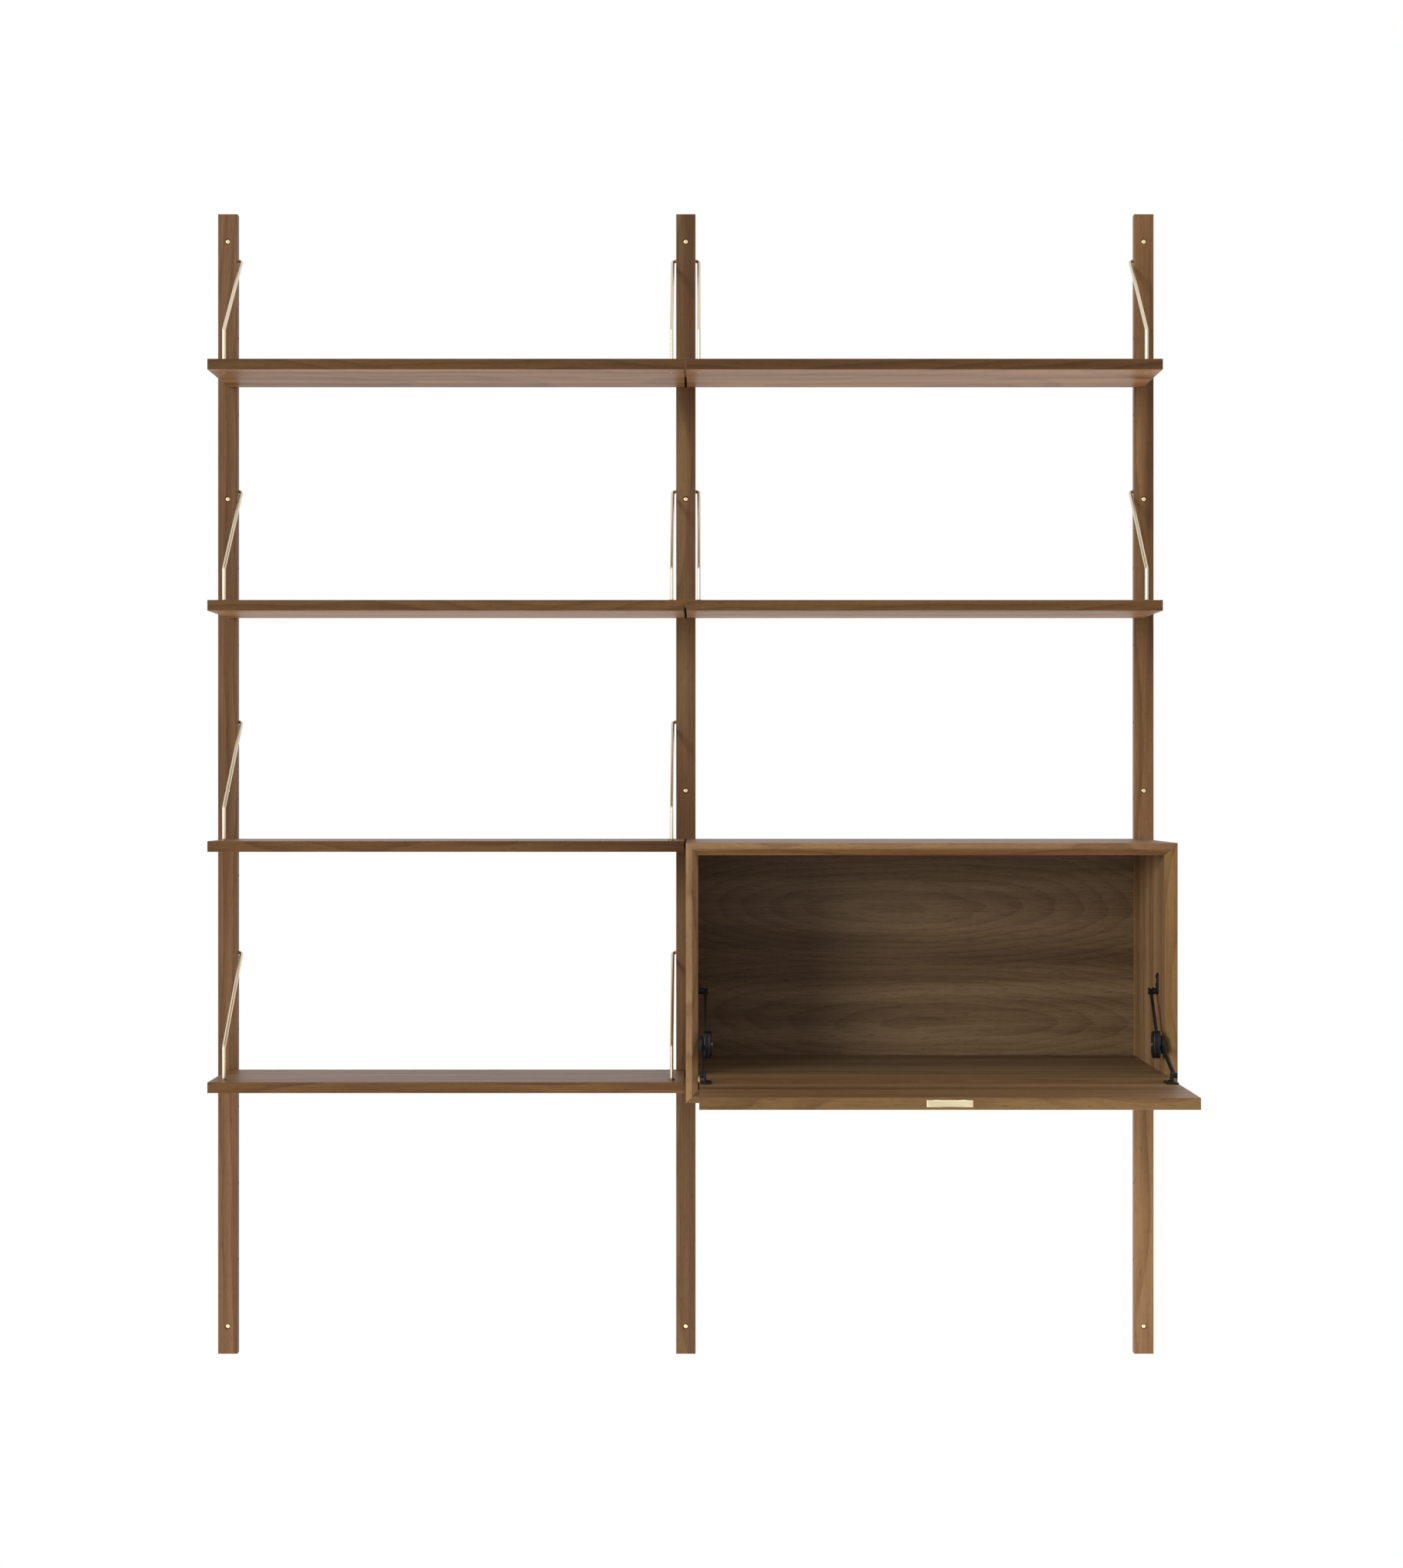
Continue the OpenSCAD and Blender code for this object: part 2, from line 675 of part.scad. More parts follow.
// Blank of the pull plate with its two pegs
module pull_outside(play) {
    at_hinge() translate([0, -door_reach, pull_z]) {
        translate([-pull_w / 2 - play, -cut * (play > 0 ? 1 : 0), -pull_h / 2 - play])
            cube([pull_w + 2 * play, pull_t + play + cut * (play > 0 ? 1 : 0), pull_h + 2 * play]);
        for (end = [-1, 1]) translate([end * pull_w / 3, 0, 0]) rotate([-90, 0, 0])
            cylinder(d = pull_peg_dia + 2 * play, h = pull_t + pull_peg_l + play);
    }
}

module door_pull() {
    dish_half = pull_w * 0.4;
    dish_r = (dish_half * dish_half + pull_dish * pull_dish) / (2 * pull_dish);
    color("#d8c48f") difference() {
        pull_outside(0);
        at_hinge() translate([0, -door_reach - dish_r + pull_dish, pull_z])
            cylinder(r = dish_r, h = pull_h + 2 * cut, center = true, $fn = 720);
    }
}

module catch_strike() {
    color("#8a8a88") at_hinge()
        translate([-strike_w / 2, -door_reach + pull_t + seat_play, pull_z - pull_h / 2 + seat_play])
            cube([strike_w, strike_t, pull_h]);
}

module catch_magnet() {
    color("#9a9a98") translate([cabinet_mid_x, hinge_y, cabinet_top_z - panel_t])
        cylinder(d = magnet_dia, h = magnet_l);
}

module hinge_pins() {
    color("#c9a86a") for (end = [-1, 1]) at_hinge()
        translate([end * (inner_w / 2 + (pin_seat - door_gap - pin_reach) / 2), 0, 0])
            x_cylinder(pin_dia, pin_seat + door_gap + pin_reach);
}

module hinge_bushes() {
    color("#c9a86a") for (end = [-1, 1]) at_hinge() translate([end * door_w / 2, 0, 0])
        mirror([end > 0 ? 1 : 0, 0, 0]) difference() {
            union() {
                translate([bush_l / 2, 0, 0]) x_cylinder(bush_dia, bush_l);
                translate([-flange_t / 2, 0, 0]) x_cylinder(flange_dia, flange_t);
            }
            translate([(bush_l - flange_t) / 2 - 1.5 - cut / 2, 0, 0])
                x_cylinder(pin_dia + 2 * pin_play, bush_l + flange_t - 3 + cut);
        }
}

// --- Door stays -------------------------------------------------------------

// In the stay frame [u, v] is the plane of the side panel and +Z points into the cabinet.
module bar(from, to, width, thick) {
    run = to - from;
    linear_extrude(height = thick) {
        translate(from) circle(d = width);
        translate(to) circle(d = width);
        translate(from) rotate(atan2(run.y, run.x)) translate([0, -width / 2])
            square([norm(run), width]);
    }
}

// Two screws above the bracket's pivot
module bracket_screw_places() {
    for (rise = [10, 24]) translate([upper_pivot.x, upper_pivot.y + rise, 0]) children();
}

// Plate on the side panel with the upper pivot's post
module stay_bracket(toward) {
    cap_s = upper_arm_s + arm_t + pivot_play;
    color("#222222") at_side(toward) difference() {
        union() {
            bar(upper_pivot, upper_pivot + [0, bracket_h - bracket_w], bracket_w, bracket_t);
            translate(upper_pivot) cylinder(d = pivot_cap_dia, h = upper_arm_s - pivot_play);
            translate(upper_pivot) cylinder(d = stay_pin_dia, h = cap_s + 1);
            translate([upper_pivot.x, upper_pivot.y, cap_s]) cylinder(d = pivot_cap_dia, h = pivot_cap_t);
        }
        bracket_screw_places() translate([0, 0, -cut])
            cylinder(d = small_screw_dia + shank_play, h = bracket_t + 2 * cut);
    }
}

module bracket_screws() {
    color("#3a3a3a") for (toward = [-1, 1]) at_side(toward) bracket_screw_places()
        translate([0, 0, bracket_t])
            domed_screw(small_screw_dia, small_screw_l, small_screw_head_dia, small_screw_head_t);
}

// Arm from the bracket down to the damper
module stay_upper_arm(toward) {
    color("#222222") at_side(toward) translate([0, 0, upper_arm_s]) difference() {
        bar(upper_pivot, elbow, arm_w, arm_t);
        translate([upper_pivot.x, upper_pivot.y, -cut])
            cylinder(d = stay_pin_dia + 2 * stay_pin_play, h = arm_t + 2 * cut);
        translate([elbow.x, elbow.y, -cut])
            cylinder(d = elbow_bolt_dia + 2 * seat_play, h = arm_t + 2 * cut);
    }
}

// Oval housing of the friction damper, fixed on the upper arm
module stay_damper(toward) {
    half_run = [0, (damper_h - damper_w) / 2];
    color("#1b1b1b") at_side(toward) difference() {
        translate([0, 0, damper_s]) bar(elbow - half_run, elbow + half_run, damper_w, damper_t);
        translate([0, 0, upper_arm_s - seat_play])
            bar(upper_pivot, elbow, arm_w + 2 * seat_play, arm_t + 2 * seat_play);
        translate([elbow.x, elbow.y, upper_arm_s])
            cylinder(d = elbow_bolt_dia + 2 * seat_play, h = damper_t);
    }
}

// Arm from the friction disc down to the foot on the door
module stay_lower_arm(toward) {
    color("#222222") at_side(toward) difference() {
        union() {
            translate([0, 0, lower_arm_s]) bar(foot_pivot, elbow, arm_w, arm_t);
            translate([elbow.x, elbow.y, disc_s]) cylinder(d = disc_dia, h = disc_t + arm_t);
        }
        translate([foot_pivot.x, foot_pivot.y, lower_arm_s - cut])
            cylinder(d = stay_pin_dia + 2 * stay_pin_play, h = arm_t + 2 * cut);
    }
}

// Bolt that clamps the housing to the upper arm
module elbow_bolt(toward) {
    color("#b9b9b6") at_side(toward) translate([elbow.x, elbow.y, damper_s + damper_t])
        domed_screw(elbow_bolt_dia, damper_t - housing_wall - seat_play, elbow_head_dia, elbow_head_t);
}

// Two screws through the foot's plate: +Z points up out of the door's inner face
module foot_screw_places() {
    for (du = [-1, 1])
        translate([foot_pivot.x + du * foot_screw_gap, door_t / 2, foot_plate_s + foot_plate_w / 2])
            rotate([-90, 0, 0]) children();
}

// Plate on the door's inner face with the lower pivot's lug and pin
module stay_foot(toward) {
    lug_s = lower_arm_s + arm_t + pivot_play;
    cap_s = lower_arm_s - pivot_play - foot_cap_t;
    color("#222222") at_side(toward) difference() {
        union() {
            translate([foot_pivot.x - foot_plate_l / 2, door_t / 2, foot_plate_s])
                cube([foot_plate_l, foot_plate_t, foot_plate_w]);
            translate([foot_pivot.x - foot_lug_w / 2, door_t / 2, lug_s])
                cube([foot_lug_w, foot_up, foot_lug_t]);
            translate([foot_pivot.x, foot_pivot.y, lug_s]) cylinder(d = foot_lug_w, h = foot_lug_t);
            translate([foot_pivot.x, foot_pivot.y, cap_s]) {
                cylinder(d = foot_cap_dia, h = foot_cap_t);
                cylinder(d = stay_pin_dia, h = lug_s - cap_s + 1);
            }
        }
        foot_screw_places() translate([0, 0, -cut])
            cylinder(d = small_screw_dia + shank_play, h = foot_plate_t + 2 * cut);
    }
}

module foot_screws() {
    color("#3a3a3a") for (toward = [-1, 1]) at_side(toward) foot_screw_places()
        translate([0, 0, foot_plate_t])
            domed_screw(small_screw_dia, small_screw_l, small_screw_head_dia, small_screw_head_t);
}

// --- Nodes ------------------------------------------------------------------

rail(0);  // rail_left
rail(1);  // rail_middle
rail(2);  // rail_right
wall_screws(0);  // wall_screws_left
wall_screws(1);  // wall_screws_middle
wall_screws(2);  // wall_screws_right
shelf(rail_x[0], left_levels[0]);  // shelf_left_1
shelf(rail_x[0], left_levels[1]);  // shelf_left_2
shelf(rail_x[0], left_levels[2]);  // shelf_left_3
shelf(rail_x[0], left_levels[3]);  // shelf_left_4
shelf(rail_x[1], right_levels[0]);  // shelf_right_1
shelf(rail_x[1], right_levels[1]);  // shelf_right_2
hanger(0, 1, left_levels[0]);  // hanger_left_1_outer
hanger(1, -1, left_levels[0]);  // hanger_left_1_inner
hanger(0, 1, left_levels[1]);  // hanger_left_2_outer
hanger(1, -1, left_levels[1]);  // hanger_left_2_inner
hanger(0, 1, left_levels[2]);  // hanger_left_3_outer
hanger(1, -1, left_levels[2]);  // hanger_left_3_inner
hanger(0, 1, left_levels[3]);  // hanger_left_4_outer
hanger(1, -1, left_levels[3]);  // hanger_left_4_inner
hanger(1, 1, right_levels[0]);  // hanger_right_1_inner
hanger(2, -1, right_levels[0]);  // hanger_right_1_outer
hanger(1, 1, right_levels[1]);  // hanger_right_2_inner
hanger(2, -1, right_levels[1]);  // hanger_right_2_outer
rod_ferrules();
rod_end_screws();
shared_shelf_keys();
single_shelf_keys();
cabinet_top();
cabinet_bottom();
cabinet_side(1);  // cabinet_side_left
cabinet_side(-1);  // cabinet_side_right
cabinet_back();
cabinet_floor();
cabinet_dowels();
cabinet_hook(1);  // cabinet_hook_left
cabinet_hook(-1);  // cabinet_hook_right
cabinet_hook_screws();
door_panel();
door_pull();
catch_strike();
catch_magnet();
hinge_pins();
hinge_bushes();
stay_bracket(1);  // stay_bracket_left
stay_bracket(-1);  // stay_bracket_right
stay_upper_arm(1);  // stay_upper_arm_left
stay_upper_arm(-1);  // stay_upper_arm_right
stay_damper(1);  // stay_damper_left
stay_damper(-1);  // stay_damper_right
stay_lower_arm(1);  // stay_lower_arm_left
stay_lower_arm(-1);  // stay_lower_arm_right
elbow_bolt(1);  // elbow_bolt_left
elbow_bolt(-1);  // elbow_bolt_right
stay_foot(1);  // stay_foot_left
stay_foot(-1);  // stay_foot_right
bracket_screws();
foot_screws();
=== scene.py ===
"""Looks of a two-bay walnut wall shelving with brass rod hangers and a drop-front cabinet.

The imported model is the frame: its boards keep their shape and get their finishes here, and the
small turned, bent and moulded pieces are made again as smooth surfaces in the same places.
"""

import json
import logging
import math
from dataclasses import dataclass, field
from enum import Enum

import bmesh
import bpy
import numpy as np
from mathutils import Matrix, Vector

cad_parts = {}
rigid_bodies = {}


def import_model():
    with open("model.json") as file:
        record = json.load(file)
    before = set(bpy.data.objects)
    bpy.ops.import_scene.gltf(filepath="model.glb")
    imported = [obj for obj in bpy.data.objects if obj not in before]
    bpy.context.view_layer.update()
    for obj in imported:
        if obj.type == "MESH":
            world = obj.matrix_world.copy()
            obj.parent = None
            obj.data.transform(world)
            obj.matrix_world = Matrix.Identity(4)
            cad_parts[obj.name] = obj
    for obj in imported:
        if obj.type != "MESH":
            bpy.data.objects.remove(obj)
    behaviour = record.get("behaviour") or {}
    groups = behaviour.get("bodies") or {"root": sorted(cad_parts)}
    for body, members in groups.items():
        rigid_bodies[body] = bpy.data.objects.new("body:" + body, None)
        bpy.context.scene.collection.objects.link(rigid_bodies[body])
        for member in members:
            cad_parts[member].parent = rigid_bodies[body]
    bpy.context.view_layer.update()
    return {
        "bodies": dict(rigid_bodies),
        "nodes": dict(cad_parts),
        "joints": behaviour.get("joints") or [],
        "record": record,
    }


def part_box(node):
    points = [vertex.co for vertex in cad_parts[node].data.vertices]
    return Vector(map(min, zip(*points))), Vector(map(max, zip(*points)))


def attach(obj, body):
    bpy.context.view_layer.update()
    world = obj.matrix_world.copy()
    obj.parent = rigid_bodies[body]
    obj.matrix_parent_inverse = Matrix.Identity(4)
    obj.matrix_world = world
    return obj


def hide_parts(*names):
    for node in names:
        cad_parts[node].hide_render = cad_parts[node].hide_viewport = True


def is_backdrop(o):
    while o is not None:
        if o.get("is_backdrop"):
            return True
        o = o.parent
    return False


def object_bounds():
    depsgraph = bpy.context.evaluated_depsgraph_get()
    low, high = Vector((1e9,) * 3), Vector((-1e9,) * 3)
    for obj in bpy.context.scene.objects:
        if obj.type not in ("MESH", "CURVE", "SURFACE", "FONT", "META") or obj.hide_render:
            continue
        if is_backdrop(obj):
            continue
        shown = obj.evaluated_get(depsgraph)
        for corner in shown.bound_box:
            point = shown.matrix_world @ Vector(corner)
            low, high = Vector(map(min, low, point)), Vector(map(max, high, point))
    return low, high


log = logging.getLogger("shelving")

MM = 0.001
# How far behind a face its own tone still reaches; for the underside, how far up its painted light from below
# reaches
FACE_MARGIN = 0.5 * MM
PAINTED_LIGHT_UNDER_MARGIN = 0.3 * MM
TURN = 2 * math.pi


# --- Surfaces -----------------------------------------------------------------


def circle_angles(count: int) -> np.ndarray:
    """Angles of a closed ring.

    Args:
        count: Number of points round the ring.
    Returns:
        Evenly spaced angles from 0, without the repeated last one.
    """
    return np.linspace(0, TURN, count, endpoint=False)


def loft(rings: np.ndarray) -> tuple[np.ndarray, list]:
    """Closed shell through a stack of rings: quads between neighbours and a flat cap at each end.

    Args:
        rings: Points of shape (rings, points, 3), all rings turning the same way.
    Returns:
        Vertices of shape (n, 3) and the list of faces.
    """
    count, around = rings.shape[:2]
    row = np.arange(count - 1)[:, None] * around
    here = np.arange(around)[None, :]
    after = (here + 1) % around
    quads = np.stack([row + here, row + after, row + around + after, row + around + here], axis=-1)
    faces = quads.reshape(-1, 4).tolist()
    faces.append(list(range(around))[::-1])
    faces.append(list(range((count - 1) * around, count * around)))
    return rings.reshape(-1, 3), faces


def turned(profile: np.ndarray, around: int = 32) -> np.ndarray:
    """Rings of a turned piece: each profile point (r, h) is swept round the Z axis.

    Args:
        profile: Radius and height of each ring, shape (n, 2).
        around: Points round each ring.
    Returns:
        Rings of shape (n, around, 3).
    """
    a = circle_angles(around)
    radius = profile[:, 0][:, None]
    height = np.broadcast_to(profile[:, 1][:, None], (len(profile), around))
    return np.stack([radius * np.cos(a), radius * np.sin(a), height], axis=-1)


def rounded_profile(radius: float, height: float, edge: float, steps: int = 5) -> np.ndarray:
    """Profile of a disc with both rims rounded: quarter circles of the edge radius.

    Args:
        radius: Outer radius.
        height: Thickness, from h = 0.
        edge: Radius of the rounded rims.
        steps: Points in each quarter circle.
    Returns:
        Radius and height of each ring, from the lower face to the upper one.
    """
    a = np.linspace(0, math.pi / 2, steps)
    low = np.stack([radius - edge + edge * np.sin(a), edge - edge * np.cos(a)], axis=1)
    high = np.stack([radius - edge + edge * np.cos(a), height - edge + edge * np.sin(a)], axis=1)
    return np.concatenate([low, high])


def oval_rings(start: np.ndarray, end: np.ndarray, profile: np.ndarray, around: int = 40) -> np.ndarray:
    """Rings of a round-ended bar in the plane: a circle whose two halves are moved to the ends.

    A point at angle a lies at its end's centre plus r (cos a, sin a), where the half that faces
    along the bar belongs to the far end.

    Args:
        start: Centre of the near end in the plane.
        end: Centre of the far end in the plane.
        profile: Radius and height of each ring.
        around: Points round each ring.
    Returns:
        Rings of shape (n, around, 3), with the height on Z.
    """
    run = end - start
    turn = math.atan2(run[1], run[0])
    a = circle_angles(around) + turn + TURN / (2 * around)
    far = (np.cos(a - turn) > 0)[:, None]
    centre = np.where(far, end, start)
    flat = centre + profile[:, 0][:, None, None] * np.stack([np.cos(a), np.sin(a)], axis=-1)
    height = np.broadcast_to(profile[:, 1][:, None, None], (len(profile), around, 1))
    return np.concatenate([flat, height], axis=-1)


def swept(path: np.ndarray, radius: np.ndarray, around: int = 28) -> np.ndarray:
    """Rings of a round rod: a circle carried along a path, square to the path at each point.

    The side direction starts square to the path and is carried along it by removing what it
    gains along the heading at each step.

    Args:
        path: Points along the rod, shape (n, 3).
        radius: Radius at each point.
        around: Points round each ring.
    Returns:
        Rings of shape (n, around, 3).
    """
    heading = np.gradient(path, axis=0)
    heading /= np.linalg.norm(heading, axis=1, keepdims=True)
    side = np.empty_like(path)
    side[0] = np.cross(heading[0], [0.3, 1.0, 0.2])
    for i in range(len(path)):
        carried = side[max(i - 1, 0)]
        carried = carried - heading[i] * (carried @ heading[i])
        side[i] = carried / np.linalg.norm(carried)
    other = np.cross(heading, side)
    a = circle_angles(around)
    ring = np.cos(a)[None, :, None] * side[:, None] + np.sin(a)[None, :, None] * other[:, None]
    return path[:, None] + radius[:, None, None] * ring


def bend(corner: np.ndarray, before: np.ndarray, after: np.ndarray, radius: float) -> np.ndarray:
    """Arc that rounds a corner, tangent to both directions.

    From its start the arc is r sin a along the first direction and r (1 - cos a) inwards.

    Args:
        corner: Where the two straight runs would meet.
        before: Unit direction into the corner.
        after: Unit direction out of it.
        radius: Radius of the arc.
    Returns:
        Points of the arc, shape (n, 3).
    """
    turn = math.acos(float(np.clip(before @ after, -1, 1)))
    inward = np.cross(np.cross(before, after), before)
    inward /= np.linalg.norm(inward)
    start = corner - radius * math.tan(turn / 2) * before
    a = np.linspace(0, turn, 12)[:, None]
    return start + radius * (np.sin(a) * before + (1 - np.cos(a)) * inward)


@dataclass(frozen=True)
class Place:
    """A local frame in the row frame: where a piece's own X, Y and Z point and its origin."""

    origin: tuple
    x: tuple = (1, 0, 0)
    y: tuple = (0, 1, 0)
    z: tuple = (0, 0, 1)

    def put(self, points: np.ndarray) -> np.ndarray:
        """Moves points from the local frame to the row frame.

        Args:
            points: Array whose last axis is x, y, z.
        Returns:
            The moved points, in the same shape.
        """
        return points @ np.array([self.x, self.y, self.z], float) + np.array(self.origin, float)


def make_mesh(name: str, shells: list, sharp: float) -> bpy.types.Object:
    """Joins closed shells into one object at the origin, with outward faces and smooth shading.

    Args:
        name: Name of the object and its mesh.
        shells: Vertices and faces of each shell.
        sharp: Angle in degrees past which an edge is shown sharp.
    Returns:
        The new object, linked to the scene.
    """
    vertices, faces, base = [], [], 0
    for points, shell_faces in shells:
        vertices.append(points)
        faces += [[base + i for i in face] for face in shell_faces]
        base += len(points)
    mesh = bpy.data.meshes.new(name)
    mesh.from_pydata(np.concatenate(vertices).tolist(), [], faces)
    cleaned = bmesh.new()
    cleaned.from_mesh(mesh)
    bmesh.ops.remove_doubles(cleaned, verts=cleaned.verts, dist=1e-7)
    bmesh.ops.recalc_face_normals(cleaned, faces=cleaned.faces)
    cleaned.to_mesh(mesh)
    cleaned.free()
    mesh.shade_smooth()
    mesh.set_sharp_from_angle(angle=math.radians(sharp))
    piece = bpy.data.objects.new(name, mesh)
    bpy.context.scene.collection.objects.link(piece)
    return piece


# --- Finishes -----------------------------------------------------------------


class NodeSheet:
    """A material's node tree, with short calls for adding and joining nodes."""

    def __init__(self, name: str) -> None:
        """Starts an empty material.

        Args:
            name: Name of the material.
        """
        self.material = bpy.data.materials.new(name)
        self.material.use_nodes = True
        self.tree = self.material.node_tree
        self.shader = self.tree.nodes["Principled BSDF"]

    def add(self, kind: str, sockets: dict | None = None, **settings) -> bpy.types.Node:
        """Adds a node.

        Args:
            kind: The node's type name, after ShaderNode.
            sockets: Input name or number to a constant or to another node's output.
            **settings: Properties of the node itself.
        Returns:
            The new node.
        """
        node = self.tree.nodes.new("ShaderNode" + kind)
        for key, value in settings.items():
            setattr(node, key, value)
        for key, value in (sockets or {}).items():
            if isinstance(value, bpy.types.NodeSocket):
                self.tree.links.new(value, node.inputs[key])
            else:
                node.inputs[key].default_value = value
        return node

    def feed(self, socket: str, value: object) -> None:
        """Sets or links one socket of the shader.

        Args:
            socket: Name of the shader's input.
            value: A constant or another node's output.
        """
        if isinstance(value, bpy.types.NodeSocket):
            self.tree.links.new(value, self.shader.inputs[socket])
        else:
            self.shader.inputs[socket].default_value = value

    def math(self, operation: str, first: object, second: object = 0.0) -> bpy.types.NodeSocket:
        """One Math node.

        Args:
            operation: Its operation.
            first: First value or output.
            second: Second value or output.
        Returns:
            The result's socket.
        """
        return self.add("Math", {0: first, 1: second}, operation=operation).outputs[0]

    def vector(self, operation: str, first: object, second: object = (0, 0, 0)) -> bpy.types.Node:
        """One Vector Math node.

        Args:
            operation: Its operation.
            first: First vector or output.
            second: Second vector or output.
        Returns:
            The node.
        """
        return self.add("VectorMath", {0: first, 1: second}, operation=operation)

    def noise(self, place: object, stretch: tuple, detail: float = 3.0) -> bpy.types.Node:
        """Noise that is stretched along the axes.

        Args:
            place: Coordinates in metres.
            stretch: Cells per metre along X, Y and Z.
            detail: Octaves.
        Returns:
            The noise node.
        """
        scaled = self.vector("MULTIPLY", place, stretch).outputs[0]
        return self.add("TexNoise", {"Vector": scaled, "Scale": 1.0, "Detail": detail})

    def ramp(self, value: object, stops: list) -> bpy.types.NodeSocket:
        """Colour ramp.

        Args:
            value: The output that drives it.
            stops: Pairs of position and linear colour.
        Returns:
            The colour socket.
        """
        node = self.add("ValToRGB", {0: value})
        elements = node.color_ramp.elements
        for i, (position, colour) in enumerate(stops):
            stop = elements[i] if i < 2 else elements.new(position)
            stop.position = position
            stop.color = (*colour, 1.0)
        return node.outputs[0]

    def mix(self, share: object, first: object, second: object, kind: str = "MIX") -> bpy.types.NodeSocket:
        """Colour mix.

        Args:
            share: How much of the second colour.
            first: First colour or output.
            second: Second colour or output.
            kind: Blend type.
        Returns:
            The mixed colour.
        """
        node = self.add("Mix", data_type="RGBA", blend_type=kind)
        for index, value in ((0, share), (6, first), (7, second)):
            if isinstance(value, bpy.types.NodeSocket):
                self.tree.links.new(value, node.inputs[index])
            else:
                node.inputs[index].default_value = value
        return node.outputs[2]

    def bump(self, height: object, strength: float, distance: float) -> None:
        """Bump on the shader's normal.

        Args:
            height: The output that gives the height.
            strength: Strength of the bump.
            distance: Height of the relief in metres.
        """
        node = self.add("Bump", {"Height": height, "Strength": strength, "Distance": distance})
        self.feed("Normal", node.outputs[0])


class Grain(Enum):
    """Which row axis the grain runs along, as the turn that brings it onto the pattern's X."""

    ACROSS = (0.0, 0.0, 0.0)
    UPRIGHT = (0.0, math.pi / 2, 0.0)


@dataclass(frozen=True)
class Figure:
    """The log's growth rings as the board cuts them: rings about a heart line that bows away.

    The heart line lies at the given place in the grain's frame. It dips by bow times x squared,
    so rings close into long ovals round its nearest point. With a mirror height the figure is
    repeated as a pair, each half a spread from that height.
    """

    heart: tuple = (0.0, 0.22, 0.06)
    ring: float = 0.016
    wander: float = 0.05
    bow: float = 0.0
    spread: float = 0.0


